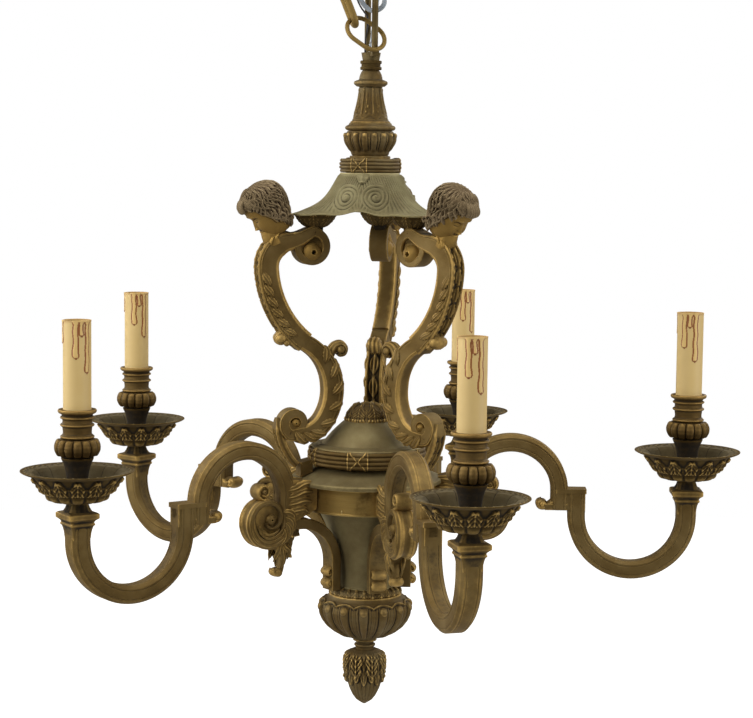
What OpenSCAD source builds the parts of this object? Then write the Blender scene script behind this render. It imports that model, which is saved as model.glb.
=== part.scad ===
// Five-arm brass chandelier on three scroll supports, hung from a ceiling plate by an S-hook.
// Origin: middle of the plate's top face, against the ceiling. Z is up, and arm 1 lies along +X.
// Shapes in a vertical plane are given as [distance from the axis, height].

/* [Ceiling fitting] */
// Diameter of the ceiling plate
plate_d = 150; // [145:1:200]
// Thickness of the ceiling plate
plate_t = 6; // [4:0.5:10]
// Diameter of the three screw holes in the plate
plate_hole_d = 5; // [4:0.5:6]
// Diameter of the circle of the screw holes
plate_hole_circle = 126; // [120:1:134]
// Diameter of the hole that the flex goes up through
flex_hole_d = 30; // [26:1:34]
// Wire diameter of the two screw eyes
eye_wire_d = 6; // [5:0.5:7]
// Radius of an eye, to the middle of its wire
eye_r = 12; // [11:0.5:14]
// Distance of the main eye's centre below the plate
eye_drop = 18; // [17:0.5:22]
// Wire diameter of the S-hook
hook_wire_d = 8; // [7:0.5:9]
// Bend radius of the S-hook, to the middle of its wire
hook_bend_r = 10; // [9.5:0.5:11]
// Distance between the two seats of the S-hook
hook_len = 46; // [45:1:52]
// Play between pieces that hang in one another
hang_gap = 0.3; // [0.2:0.05:0.5]

/* [Safety chain] */
// Wire diameter of the two chain links
link_wire_d = 7; // [6:0.5:7.5]
// Width of a link, to the middle of its wire
link_w = 18; // [17:0.5:20]
// Length of a link, to the middle of its wire
link_len = 49; // [46:1:52]
// Lean of the chain away from upright
chain_lean = 22; // [20:1:24]
// Wire diameter of the threaded ring
ring_wire_d = 4.6; // [4:0.2:5]
// Length of the ring, to the middle of its wire
ring_len = 42; // [40:1:44]
// Width of the ring, to the middle of its wire
ring_w = 30; // [28:1:31]

/* [Hanging loop] */
// Rod diameter of the hanging loop
loop_rod_d = 6.5; // [6:0.5:7]
// Distance between the two legs of the loop
loop_w = 25; // [24:0.5:28]
// Height of the loop above its foot
loop_h = 75; // [74:1:80]
// Turn of the loop about the upright axis
loop_turn = 109; // [104:1:114]
// Height of the loop's round foot
loop_foot_h = 9; // [8:0.5:12]
// Radius of the loop's round foot
loop_foot_r = 10; // [9.5:0.25:11]

/* [Upper turnings] */
// Outside radius of the threaded tubes
tube_r = 5; // [4.5:0.25:5.5]
// Bore radius of the threaded tubes
tube_bore_r = 3.6; // [3:0.1:3.9]
// Play around the threaded tubes
tube_gap = 0.2; // [0.1:0.05:0.4]
// Radius of the collar nut
nut_r = 11; // [10:0.5:13]
// Height of the collar nut
nut_h = 9.5; // [8:0.5:12]
// Radius of the cap's flange
cap_flange_r = 17.5; // [16:0.5:20]
// Height of the cap's flange
cap_flange_h = 7; // [6:0.5:9]
// Height of the cap's dome
cap_dome_h = 10; // [8:0.5:12]
// Radius at the foot of the vase neck
vase_foot_r = 20.5; // [19:0.5:22]
// Radius at the top of the vase neck
vase_top_r = 12.5; // [11.5:0.5:14]
// Height of the vase neck
vase_h = 36.5; // [32:0.5:42]
// Number of husks round the vase neck
vase_husks = 8; // [6:1:10]
// Radius of the moulded ring under the vase neck
neck_ring_r = 26; // [24:0.5:28]
// Height of the moulded ring
neck_ring_h = 8.5; // [7:0.5:10]
// Largest radius of the gadrooned knop
knop_r = 28; // [27:0.5:30]
// Height of the gadrooned knop
knop_h = 25.5; // [24:0.5:28]
// Number of gadroons round the knop
knop_lobes = 16; // [12:1:18]
// Height of the waist under the knop
waist_h = 3; // [2:0.5:5]
// Radius of the waist
waist_r = 21; // [18:0.5:24]
// Outside radius of the upper reeded ring
reed_upper_r = 32; // [31:0.5:35]
// Height of the upper reeded ring
reed_upper_h = 14; // [12:0.5:16]
// Number of reeds on each reeded ring
reed_count = 4; // [3:1:5]

/* [Crown canopy] */
// Height of the crown canopy
crown_h = 42; // [38:0.5:46]
// Radius of the crown at its top
crown_top_r = 31; // [29:0.5:31]
// Radius of the crown in the middle of a panel
crown_panel_r = 54; // [50:1:56]
// Radius of the crown at its three tips
crown_tip_r = 83; // [78:1:86]
// Thickness of the crown
crown_wall = 2.2; // [1.8:0.2:3]

/* [Scroll supports] */
// Distance from the top of the shoulder disc to the crown's rim
lantern_h = 261; // [258:1:266]
// Width of a support across its side faces
support_w = 19; // [17:0.5:21]
// Thickness of a support's upper curve
support_t = 22; // [20:0.5:23]
// Thickness of a support's lower curve
support_lower_t = 21; // [19:0.5:22]
// Direction of the first support
support_turn = 80; // [78:1:82]
// Radius of the dish on top of a support
dish_r = 21; // [18:0.5:22]
// Height of the dish
dish_h = 11; // [9:0.5:12]
// Radius of the upper volute
volute_upper_r = 19.5; // [18:0.5:20]
// Radius of the lower volute
volute_lower_r = 17; // [15:0.5:18]
// Diameter of the support screws
support_screw_d = 5; // [4:0.5:5]
// Radius of a child's head at the crown
head_r = 25; // [23:0.5:26]

/* [Body] */
// Radius of the domed cap on the bell
dome_r = 23; // [21:0.5:23.5]
// Height of the domed cap
dome_h = 18; // [16:0.5:20]
// Height of the bell
bell_h = 27.5; // [25:0.5:28]
// Radius of the bell at its foot
bell_r = 59; // [56:0.5:60]
// Wall of the spun shells
shell = 1.6; // [1.2:0.2:2.4]
// Outside radius of the lower reeded ring
reed_lower_r = 62.5; // [61:0.5:65]
// Height of the lower reeded ring
reed_lower_h = 17; // [15:0.5:19]
// Height of the gap under the lower reeded ring
reed_gap_h = 2; // [1.5:0.5:4]
// Radius of the shoulder disc
shoulder_r = 78.5; // [76:0.5:80]
// Radius where the shoulder's slope begins
shoulder_top_r = 50; // [46:0.5:52]
// Height of the shoulder's slope
shoulder_h = 12.5; // [10:0.5:14]
// Thickness of the shoulder disc's edge
shoulder_edge_t = 5; // [4:0.5:7]
// Radius of the drum band
drum_r = 67; // [66:0.5:70]
// Height of the drum band
drum_h = 27.5; // [26:0.5:32]
// Radius of the hub inside the drum
hub_r = 40; // [36:0.5:44]
// Height of the stem
stem_h = 83.5; // [82:0.5:90]
// Radius at the top of the stem
stem_top_r = 52; // [50:0.5:53]
// Radius at the foot of the stem
stem_foot_r = 30; // [28:0.5:31]
// Radius of the beaded collar
bead_r = 38; // [36:0.5:42]
// Height of the beaded collar
bead_h = 7.5; // [6:0.5:9]
// Number of beads round the collar
bead_count = 30; // [24:1:36]
// Largest radius of the gadrooned bowl
bowl_r = 49.5; // [47:0.5:53]
// Height of the gadrooned bowl
bowl_h = 49.5; // [46:0.5:54]
// Number of gadroons round the bowl
bowl_lobes = 14; // [12:1:16]
// Largest radius of the acorn
acorn_r = 22.5; // [21:0.5:25]
// Height of the acorn below its neck
acorn_h = 60; // [56:0.5:66]
// Height of the acorn's neck
acorn_neck_h = 10; // [8:0.5:13]

/* [Arms] */
// Number of arms
arm_count = 5; // [4:1:6]
// Distance of a candle's axis from the middle
arm_reach = 333; // [328:1:342]
// Height of the drip pans' rims above the middle of the drum
pan_rise = 50.5; // [48:0.5:54]
// Width of an arm across its side faces
arm_w = 20; // [18:0.5:21]
// Thickness of an arm
arm_t = 18; // [16:0.5:18]
// Radius of the U bend, to the middle of the arm
u_bend_r = 57; // [55:0.5:58]
// Radius of the upper arch, to the middle of the arm
arch_r = 50.3; // [49:0.1:51]
// Radius of the arm's big volute
arm_volute_r = 27; // [25:0.5:28]
// Side of the square plate on top of an arm
abacus_w = 32; // [28:0.5:34]
// Diameter of the arm screws
arm_screw_d = 6; // [5:0.5:8]

/* [Lights] */
// Radius of a drip pan's rim
pan_r = 54.5; // [51:0.5:58]
// Depth of a drip pan
pan_depth = 31; // [28:0.5:31]
// Wall of a drip pan
pan_wall = 2; // [1.6:0.2:2.6]
// Number of gadroons under a drip pan
pan_lobes = 14; // [12:1:16]
// Radius of a candle cup's bulb
cup_bulb_r = 22.5; // [21:0.5:23.5]
// Height of a candle cup above its drip pan's rim
cup_rise = 58.5; // [56:0.5:62]
// Height of a candle cup's bulb
cup_bulb_h = 19; // [17:0.5:21]
// Radius of a candle cup's tube
cup_tube_r = 14.2; // [13.8:0.2:15]
// Radius of a candle cup's top flange
cup_flange_r = 18.5; // [17:0.5:20]
// Number of gadroons round a candle cup's bulb
cup_lobes = 14; // [12:1:16]
// Height of a candle cup's tube
cup_tube_h = 27.5; // [26:0.5:30]
// Outside radius of a candle sleeve
sleeve_r = 13.5; // [13.1:0.1:13.8]
// Wall of a candle sleeve
sleeve_wall = 0.9; // [0.7:0.1:1.1]
// Length of a candle sleeve
sleeve_len = 88; // [84:1:94]
// Depth of the seat that holds a candle sleeve
sleeve_seat = 3; // [2:0.5:4]
// Play round a candle sleeve in its seat
sleeve_gap = 0.35; // [0.3:0.05:0.5]
// Radius of a lampholder
holder_r = 12; // [11.5:0.1:12.2]
// Distance from a sleeve's mouth down to its lampholder
holder_drop = 12; // [8:1:20]
// Radius of the lampholder's threaded socket
socket_r = 7; // [6.8:0.1:7.2]
// Depth of the lampholder's threaded socket
socket_depth = 24; // [20:1:28]

/* [Flex] */
// Diameter of the clear supply flex
flex_d = 5; // [4.5:0.5:5.5]
// Diameter of the thin black wire
wire_d = 1.8; // [1.6:0.2:2]

/* [Hidden] */
$fn = 48;
// Play between pieces that only stand beside one another, and round the screws
face_gap = 0.2;
// How much thinner or thicker a bar is than the one it grows out of
joint_step = 0.6;
// Size of a reed in a reeded ring, as a share of its even part of the height
reed_overlap = 1.08;
// Overrun of a hole past the faces it goes through
over = 1;

plate_chamfer = 4;
plate_hole_turn = 30;
loop_yoke_t = 5;
// Height of the yoke's top above the foot's
loop_step = 1;

// Heights of the hanging pieces
z_plate = -plate_t;
z_eye = z_plate - eye_drop;
z_eye_seat = z_eye - eye_r;
z_hook_top = z_eye_seat + (eye_wire_d + hook_wire_d) / 2 + hang_gap;
z_hook_seat = z_hook_top - hook_len;
z_loop_top = z_hook_seat + (hook_wire_d + loop_rod_d) / 2 + hang_gap;
z_loop_foot = z_loop_top - loop_h;

// Heights of the upper turnings
z_nut = z_loop_foot - loop_foot_h;
z_cap = z_nut - nut_h;
z_flange = z_cap - cap_dome_h;
z_vase = z_flange - cap_flange_h;
z_neck_ring = z_vase - vase_h;
z_knop = z_neck_ring - neck_ring_h;
z_waist = z_knop - knop_h;
z_reed_upper = z_waist - waist_h;
z_crown = z_reed_upper - reed_upper_h;
z_rim = z_crown - crown_h;

// Heights of the body
z_shoulder = z_rim - lantern_h;
z_reed_lower = z_shoulder + reed_gap_h + reed_lower_h;
z_bell = z_reed_lower + bell_h;
z_dome = z_bell + dome_h;
z_edge = z_shoulder - shoulder_h;
z_drum = z_edge - shoulder_edge_t;
z_stem = z_drum - drum_h;
z_bead = z_stem - stem_h;
z_bowl = z_bead - bead_h;
z_acorn_neck = z_bowl - bowl_h;
z_acorn = z_acorn_neck - acorn_neck_h;
z_drum_mid = z_drum - drum_h / 2;

// Heights of the lights
z_pan = z_drum_mid + pan_rise;
z_pan_floor = z_pan - pan_depth;
z_cup_top = z_pan + cup_rise;
z_tube = z_cup_top - cup_tube_h;
z_bulb = z_tube - cup_bulb_h;
z_sleeve = z_cup_top - sleeve_seat;
z_mouth = z_sleeve + sleeve_len;
z_holder_top = z_mouth - holder_drop;

// The nipple on an arm's end goes up through pan and cup into the lampholder
nipple_r = 5;
nipple_bore_r = 3.2;
nipple_gap = 0.2;
nipple_grip = 13;
holder_stem_r = 8;
holder_stem_h = 16;
cup_foot_r = 12.5;
pan_lobe_r = 5.5;
cup_lobe_r = 5.6;

// The square plate and the cone that carry a drip pan
abacus_t = 6;
abacus_neck_h = 9.5;
z_abacus = z_pan_floor - abacus_neck_h;

// The arm's curves, as [distance, height] from the middle of the drum
arm_bevel = 3;
bracket_w = arm_w - 1;
// How far the middle of each curve lies under the pan's rim
u_drop = 69;
arch_drop = 44.5;
volute_drop = 66.5;
strap_drop = 118;
// How far the step's top and the foot of the arch's outer limb lie under the pan's rim
step_drop = 41.5;
arch_foot_drop = 64;
// From the inner limb out to the volute's middle and back to the strap's
volute_out = 21;
strap_back = 14;
u_mid = [arm_reach - u_bend_r, pan_rise - u_drop];
step_x = u_mid.x - u_bend_r;
arch_mid = [step_x - arm_t - arch_r, pan_rise - arch_drop];
arch_x = arch_mid.x + arch_r;
limb_x = arch_mid.x - arch_r;
volute_mid = [limb_x + volute_out, pan_rise - volute_drop];
curl_r = arm_t / 2;
curl_mid = volute_mid + [curl_r * 0.83, arm_volute_r + 2];
strap_t = 11;
foot_x = bead_r + strap_t / 2 - 1.5;
strap_mid = [limb_x - strap_back, pan_rise - strap_drop];
strap_r = strap_mid.x - foot_x;
drop_leaf = volute_mid - arm_volute_r * [0.46, 2.07];
step_top = pan_rise - step_drop;
arch_foot = pan_rise - arch_foot_drop;

// The support's curves, as [distance, height] from the top of the shoulder
sup_top = lantern_h;
sup_volute = [64, sup_top - 34];
sup_arc1 = [84, sup_top - 54];
sup_arc1_r = 25.5;
sup_arc1_end = -3;
sup_arc2_r = 105;
sup_arc2 = sup_arc1 + (sup_arc1_r - sup_arc2_r) * [cos(sup_arc1_end), sin(sup_arc1_end)];
sup_arc2_end = -49;
sup_low_volute = [79.6, 46];
sup_c_mid = [95, 79];
sup_c_r = 56;
sup_c_start = 102;
sup_c_end = 215;
sup_arc5_r = 28;
sup_arc5 = sup_c_mid + (sup_c_r - sup_arc5_r) * [cos(sup_c_end), sin(sup_c_end)];
sup_tail_mid = [31, 49];
sup_tail_r = 66;
sup_tail_t = 8;
sup_leaf = [96, sup_top - 127];
sup_curl = [32, 122];
sup_curl_r = 7;
dish_x = 58;
lug_r = 6;
lug_h = 5.5;
foot_at = 68;
foot_block_l = 12;
stud_nut_h = 2.2;
stud_nut_d = support_screw_d + 3;
head_mid = [110, sup_top + 7];
head_pin_r = 4;
head_pin_h = 30;
head_pin_drop = 22;

// The threaded tubes end in a nut inside the crown, and in the acorn's blind hole
crown_nut_h = 12;
crown_nut_r = 15;
tube_end = 4;
tube_short = 2.5;
dome_grip = 8;
drum_lip = 6;
arm_inset = 6;
bead_share = 0.36;
bead_neck = 0.6;
hub_gap = 1;
hub_pad_h = 16;
// The corners of a pad's end just clear the inside of the drum
hub_pad_reach = sqrt(pow(drum_r - shell - face_gap, 2) - pow(arm_w / 2, 2));
arm_screw_grip = 15;
arm_screw_reach = 5;
dome_leaves = 8;
dome_leaf_r = 6;
acorn_grip = 12;
z_crown_nut = z_crown - crown_wall - crown_nut_h;

// The safety chain leans in the XZ plane, from its eye down to the ring round the loop's leg
chain_dir = [sin(chain_lean), 0, -cos(chain_lean)];
chain_turn = 12;
front_leg = -loop_w / 2 * [cos(loop_turn), sin(loop_turn)];
ring_mid = [front_leg.x - 9.1, front_leg.y - 2.2, z_loop_foot + 17.5];
ring_roll = 125;
ring_tilt = 140;
ring_seat_at = 23.8;
ring_run = (ring_len - ring_w) / 2;
ring_seat = ring_mid + ring_to_loop([ring_w / 2 * sin(ring_seat_at), 0,
    -ring_run - ring_w / 2 * cos(ring_seat_at)]);
link_seat = (link_wire_d + ring_wire_d) / 2 + 2 * hang_gap;
lower_link_foot = ring_seat + link_seat * chain_dir;
lower_link_mid = lower_link_foot - link_len / 2 * chain_dir;
upper_link_mid = lower_link_mid - (link_len - link_wire_d - hang_gap) * chain_dir;
upper_link_bend = upper_link_mid - (link_len - link_w) / 2 * chain_dir;
safety_eye_pos = upper_link_bend
    + [0, 0, eye_r + (link_w - link_wire_d - eye_wire_d) / 2 - hang_gap];

// The flex and the thin wire, from the loop's foot up into the ceiling plate
flex_route = [[0, 0, -149], [0, 0, -143], [0.3, 0.6, -136.5], [1, 2, -130], [1.8, 4.2, -123],
    [2.6, 7, -116], [3.4, 10, -109], [4.2, 13, -102], [4.9, 15.2, -96], [5, 15.8, -90],
    [5.8, 13.5, -84.5], [7.8, 8.4, -80.6], [10.4, 2.1, -80.6], [12.4, -3, -84.5],
    [13.4, -5.2, -90.5], [11.6, -5.4, -96.3], [6, -5.2, -100.4], [-0.8, -5, -100.4],
    [-6.5, -5.5, -96.3], [-11, -7, -90], [-15, -9, -83], [-17.5, -12, -75], [-18, -15, -66],
    [-17, -18, -57], [-15, -20.5, -48], [-12, -22.5, -39], [-8, -24.3, -30], [-4, -25.5, -21],
    [-1, -26, -12], [0, -26, -5]];
wire_route = [[-6.3, 3.5, -146], [-6.3, 3.5, -140], [-6.2, 3.8, -134], [-5.8, 4.3, -128],
    [-5, 4.8, -122], [-4.2, 5, -116], [-4, 5.2, -110], [-5.2, 6, -105], [-8, 8, -101],
    [-11.5, 10.5, -96], [-14.5, 13, -90], [-16.5, 15.5, -83], [-17, 18, -75], [-16.5, 20, -67],
    [-15, 21.5, -59], [-13, 23, -51], [-10.5, 24.2, -43], [-7.5, 25, -35], [-4.5, 25.6, -27],
    [-2, 26, -19], [-0.5, 26, -11], [0, 26, -5]];

// ---- Shared shapes ----

// A bar bent to an arc in the XZ plane; children() is its flat section
module arc_bar(mid, r, from, to) {
    translate([mid.x, 0, mid.y])
        rotate([90, 0, 0])
            rotate([0, 0, min(from, to)])
                rotate_extrude(angle = abs(to - from))
                    translate([r, 0])
                        children();
}

// A flat shape in the XZ plane, given a width across it
module slab(w) {
    rotate([90, 0, 0])
        translate([0, 0, -w / 2])
            linear_extrude(w)
                children();
}

// A round boss across the XZ plane
module boss(mid, r, w) {
    translate([mid.x, w / 2, mid.y])
        rotate([90, 0, 0])
            cylinder(h = w, r = r);
}

// A rectangular section with its four corners cut off
module bevelled(t, w, cut) {
    polygon([[-t / 2 + cut, -w / 2], [t / 2 - cut, -w / 2], [t / 2, -w / 2 + cut],
        [t / 2, w / 2 - cut], [t / 2 - cut, w / 2], [-t / 2 + cut, w / 2],
        [-t / 2, w / 2 - cut], [-t / 2, -w / 2 + cut]]);
}

// A ring of beads round the upright axis
module bead_ring(count, ring, z, r) {
    for (i = [0:count - 1])
        rotate([0, 0, i * 360 / count])
            translate([ring, 0, z])
                sphere(r = r);
}

module tube(r, bore, z0, z1) {
    difference() {
        translate([0, 0, z0])
            cylinder(h = z1 - z0, r = r);
        upright_hole(bore, z0, z1);
    }
}

// A round hole that runs past both faces of what it goes through
module upright_hole(r, z0, z1) {
    translate([0, 0, z0 - over])
        cylinder(h = z1 - z0 + 2 * over, r = r);
}

// The hole that a threaded tube passes through
module tube_hole(z0, z1) {
    upright_hole(tube_r + tube_gap, z0, z1);
}

// Turns a piece of a scroll support, or its screws, to the place of support i
module at_support(i) {
    rotate([0, 0, support_turn + (i - 1) * 120])
        children();
}

// Turns a piece of an arm to the place of arm i
module at_arm(i) {
    rotate([0, 0, (i - 1) * 360 / arm_count])
        children();
}

// A tube swept along a route of points
function last(list) = list[len(list) - 1];
function unit(v) = v / norm(v);
function route_dir(p, i) = unit(p[min(i + 1, len(p) - 1)] - p[max(i - 1, 0)]);
function ring_points(p, i, r, n) =
    let (d = route_dir(p, i), u = unit(cross(d, [1, 0.2, 0])), v = cross(d, u))
    [for (k = [0:n - 1]) p[i] + r * (cos(360 * k / n) * u + sin(360 * k / n) * v)];

module swept_tube(p, r, n) {
    rings = len(p);
    points = [for (i = [0:rings - 1]) each ring_points(p, i, r, n)];
    walls = [for (i = [0:rings - 2]) for (k = [0:n - 1])
        [i * n + k, i * n + (k + 1) % n, (i + 1) * n + (k + 1) % n, (i + 1) * n + k]];
    foot = [[for (k = [n - 1:-1:0]) k]];
    head = [[for (k = [0:n - 1]) (rings - 1) * n + k]];
    polyhedron(points, concat(walls, foot, head), convexity = 4);
}

// A closed oval of round wire in the XZ plane, centred on the origin, long along Z
module oval_link(len, w, wire_d) {
    bend = w / 2;
    run = len / 2 - bend;
    for (side = [-1, 1]) {
        translate([side * bend, 0, -run])
            cylinder(h = 2 * run, d = wire_d);
        arc_bar([0, side * run], bend, side > 0 ? 0 : 180, side > 0 ? 180 : 360)
            circle(d = wire_d);
    }
}

// A point of the threaded ring, turned from the ring's own plane to the way it lies
function ring_to_loop(p) =
    let (c = cos(ring_tilt), s = sin(ring_tilt), q = [p.x * c - p.y * s, p.x * s + p.y * c, p.z])
    [q.x * cos(ring_roll) + q.z * sin(ring_roll), q.y, -q.x * sin(ring_roll) + q.z * cos(ring_roll)];

// ---- Ceiling fitting and safety chain ----

module screw_eye(pos, turn) {
    translate(pos)
        rotate([0, 0, turn])
            arc_bar([0, 0], eye_r, 0, 360)
                circle(d = eye_wire_d);
    translate([pos.x, pos.y, pos.z + eye_r])
        cylinder(h = -pos.z - eye_r, d = eye_wire_d);
}

module ceiling_plate() {
    color("#6b5f3c")
    difference() {
        translate([0, 0, z_plate])
            cylinder(h = plate_t, r1 = plate_d / 2 - plate_chamfer, r2 = plate_d / 2);
        for (i = [0:2])
            rotate([0, 0, plate_hole_turn + i * 120])
                translate([plate_hole_circle / 2, 0, 0])
                    upright_hole(plate_hole_d / 2, z_plate, 0);
        for (end = [last(flex_route), last(wire_route)])
            translate([end.x, end.y, 0])
                upright_hole(flex_hole_d / 2, z_plate, 0);
        for (pos = [[0, 0], safety_eye_pos])
            translate([pos.x, pos.y, 0])
                upright_hole(eye_wire_d / 2 + face_gap, z_plate, 0);
    }
}

module ceiling_eye() {
    color("#54492e")
        screw_eye([0, 0, z_eye], loop_turn);
}

module safety_eye() {
    color("#54492e")
        screw_eye(safety_eye_pos, 90 + chain_turn);
}

module s_hook() {
    bend_z = hook_len / 2 - hook_bend_r;
    slope = asin(hook_bend_r / bend_z);
    shank = 2 * sqrt(bend_z * bend_z - hook_bend_r * hook_bend_r);
    color("#7a6a3c")
    translate([0, 0, (z_hook_top + z_hook_seat) / 2])
        rotate([0, 0, loop_turn - 90]) {
            for (turn = [0, 180])
                rotate([0, turn, 0])
                    arc_bar([0, bend_z], hook_bend_r, -slope, 180)
                        circle(d = hook_wire_d);
            rotate([0, slope, 0])
                cylinder(h = shank + joint_step, d = hook_wire_d + joint_step, center = true);
        }
}

module chain_link(mid, turn) {
    translate(mid)
        rotate([0, -chain_lean, 0])
            rotate([0, 0, turn])
                oval_link(link_len, link_w, link_wire_d);
}

module safety_link_upper() {
    color("#8a7440")
        chain_link(upper_link_mid, chain_turn);
}

module safety_link_lower() {
    color("#8a7440")
        chain_link(lower_link_mid, 90 + chain_turn);
}

module safety_ring() {
    color("#a08c66")
    translate(ring_mid)
        rotate([0, ring_roll, 0])
            rotate([0, 0, ring_tilt])
                oval_link(ring_len, ring_w, ring_wire_d);
}

module hang_loop() {
    leg_top = z_loop_top - loop_w / 2;
    yoke_w = loop_rod_d + 1;
    yoke_l = loop_w + yoke_w;
    color("#6e6544")
    difference() {
        union() {
            rotate([0, 0, loop_turn]) {
                arc_bar([0, leg_top], loop_w / 2, 0, 180)
                    circle(d = loop_rod_d);
                for (side = [-1, 1])
                    translate([side * loop_w / 2, 0, z_loop_foot - loop_yoke_t / 2])
                        cylinder(h = leg_top - z_loop_foot + loop_yoke_t / 2, d = loop_rod_d);
                translate([-yoke_l / 2, -yoke_w / 2, z_loop_foot - loop_yoke_t])
                    cube([yoke_l, yoke_w, loop_yoke_t]);
            }
            translate([0, 0, z_nut])
                cylinder(h = loop_foot_h - loop_step, r1 = loop_foot_r - 1.5, r2 = loop_foot_r);
        }
        tube_hole(z_nut, z_loop_foot - 2 * over);
        upright_hole(tube_bore_r, z_nut, z_loop_foot);
        translate(wire_route[0])
            cylinder(h = loop_foot_h, r = wire_d / 2 + face_gap);
    }
}

// ---- Upper turnings ----

module collar_nut() {
    color("#6b5f40")
    difference() {
        union() {
            translate([0, 0, z_cap])
                cylinder(h = nut_h, r = nut_r - 1.2);
            for (z = [z_cap, z_nut - nut_h / 3])
                translate([0, 0, z])
                    cylinder(h = nut_h / 3, r = nut_r);
        }
        tube_hole(z_cap, z_nut);
    }
}

module neck_cap() {
    color("#6b5f40")
    difference() {
        union() {
            translate([0, 0, z_flange])
                rotate_extrude()
                    polygon([[0, 0], [12, 0], [11.5, cap_dome_h * 0.4], [9.5, cap_dome_h * 0.8],
                        [8.5, cap_dome_h], [0, cap_dome_h]]);
            translate([0, 0, z_vase])
                cylinder(h = cap_flange_h * 0.6, r1 = cap_flange_r - 2, r2 = cap_flange_r);
            translate([0, 0, z_vase + cap_flange_h * 0.6])
                cylinder(h = cap_flange_h * 0.4, r1 = cap_flange_r, r2 = cap_flange_r - 3);
        }
        tube_hole(z_vase, z_cap);
    }
}

// Radius of the vase neck at a height above its foot
function vase_radius(h) = vase_top_r + (vase_foot_r - vase_top_r) * pow(1 - h / vase_h, 1.6);

module vase_neck() {
    steps = 8;
    husk_z = vase_h * 0.28;
    tip_z = vase_h * 0.5;
    color("#7d6a3a")
    difference() {
        union() {
            translate([0, 0, z_neck_ring])
                rotate_extrude()
                    polygon(concat([[0, 0]], [for (i = [0:steps])
                        [vase_radius(i * vase_h / steps), i * vase_h / steps]], [[0, vase_h]]));
            bead_ring(vase_husks, vase_radius(husk_z) - 1, z_neck_ring + husk_z, 3.4);
            bead_ring(vase_husks, vase_radius(tip_z) - 0.6, z_neck_ring + tip_z, 2.6);
        }
        tube_hole(z_neck_ring, z_vase);
    }
}

module neck_ring() {
    color("#75653a")
    difference() {
        translate([0, 0, z_knop])
            rotate_extrude()
                polygon([[0, 0], [neck_ring_r - 3, 0], [neck_ring_r, 2], [neck_ring_r, 4],
                    [neck_ring_r - 3, 5.5], [neck_ring_r - 4, neck_ring_h], [0, neck_ring_h]]);
        tube_hole(z_knop, z_neck_ring);
    }
}

module gadroon_knop() {
    lobe_r = 6;
    lobe_z = z_waist + knop_h * 0.66;
    color("#6a5a34")
    difference() {
        union() {
            translate([0, 0, z_waist])
                rotate_extrude()
                    polygon([[0, 0], [19, 0], [20, knop_h * 0.2], [knop_r - 3, knop_h * 0.5],
                        [knop_r - 1.5, knop_h * 0.7], [knop_r - 4, knop_h], [0, knop_h]]);
            bead_ring(knop_lobes, knop_r - lobe_r, lobe_z, lobe_r);
        }
        tube_hole(z_waist, z_knop);
    }
}

// A ring of stacked round reeds on a plain core
module reeded_ring(r, z, h, count) {
    reed_r = h / count / 2 * reed_overlap;
    pitch = (h - 2 * reed_r) / (count - 1);
    crown = 0.25;
    translate([0, 0, z])
        cylinder(h = h, r = r - reed_r - count * crown - 1.5);
    for (i = [0:count - 1])
        translate([0, 0, z + reed_r + i * pitch])
            rotate_extrude()
                translate([r - reed_r - abs(2 * i + 1 - count) * crown, 0])
                    circle(r = reed_r);
}

module upper_reeded_ring() {
    color("#6d5d36")
    difference() {
        union() {
            reeded_ring(reed_upper_r, z_crown, reed_upper_h, reed_count);
            translate([0, 0, z_reed_upper])
                cylinder(h = waist_h, r = waist_r);
        }
        tube_hole(z_crown, z_waist);
    }
}

// Radius of the crown canopy at a depth from 0 at its top to 1 at its rim
function tip_share(a) = pow((1 + cos(3 * (a - support_turn))) / 2, 1.5);
function crown_radius(t, a) = crown_top_r + (crown_panel_r - crown_top_r) * t
    + (crown_tip_r - crown_panel_r) * tip_share(a) * pow(t, 5);

// The crown's form as a closed solid, drawn in by a wall
module crown_form(wall) {
    steps = 12;
    turns = 60;
    points = [for (i = [0:steps]) for (k = [0:turns - 1])
        let (a = k * 360 / turns, t = i / steps, r = crown_radius(t, a) - wall)
        [r * cos(a), r * sin(a), z_crown - crown_h * t - (i == 0 ? wall : 0) - (i == steps ? wall : 0)]];
    walls = [for (i = [0:steps - 1]) for (k = [0:turns - 1]) for (half = [0, 1])
        let (a = i * turns + k, b = i * turns + (k + 1) % turns)
        half == 0 ? [a, a + turns, b] : [b, a + turns, b + turns]];
    top = [[for (k = [turns - 1:-1:0]) k]];
    under = [[for (k = [0:turns - 1]) steps * turns + k]];
    polyhedron(points, concat(walls, top, under), convexity = 6);
}

module crown_lugs() {
    for (i = [1:3])
        at_support(i)
            translate([dish_x, 0, z_rim])
                cylinder(h = crown_h / 2, r = lug_r);
}

module crown_canopy() {
    color("#6f6c4c")
    difference() {
        crown_form(0);
        difference() {
            crown_form(crown_wall);
            crown_lugs();
        }
        tube_hole(z_crown - crown_wall, z_crown);
        for (i = [1:3])
            at_support(i)
                translate([dish_x, 0, z_rim - over])
                    cylinder(h = lug_h + over, d = support_screw_d + 2 * face_gap);
    }
}

module upper_tube() {
    color("#8c7a4a")
        tube(tube_r, tube_bore_r, z_crown_nut - tube_end, z_loop_foot - tube_short);
}

module crown_nut() {
    color("#8c7a4a")
    difference() {
        translate([0, 0, z_crown_nut])
            cylinder(h = crown_nut_h, r = crown_nut_r);
        tube_hole(z_crown_nut, z_crown_nut + crown_nut_h);
    }
}

// ---- Scroll supports ----

// The sloping top of the shoulder disc, grown by a gap
module shoulder_slope(gap) {
    translate([0, 0, z_edge + gap])
        cylinder(h = shoulder_h, r1 = shoulder_r, r2 = shoulder_top_r);
    translate([0, 0, z_drum])
        cylinder(h = shoulder_edge_t + 2 * gap, r = shoulder_r + gap);
}

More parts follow.
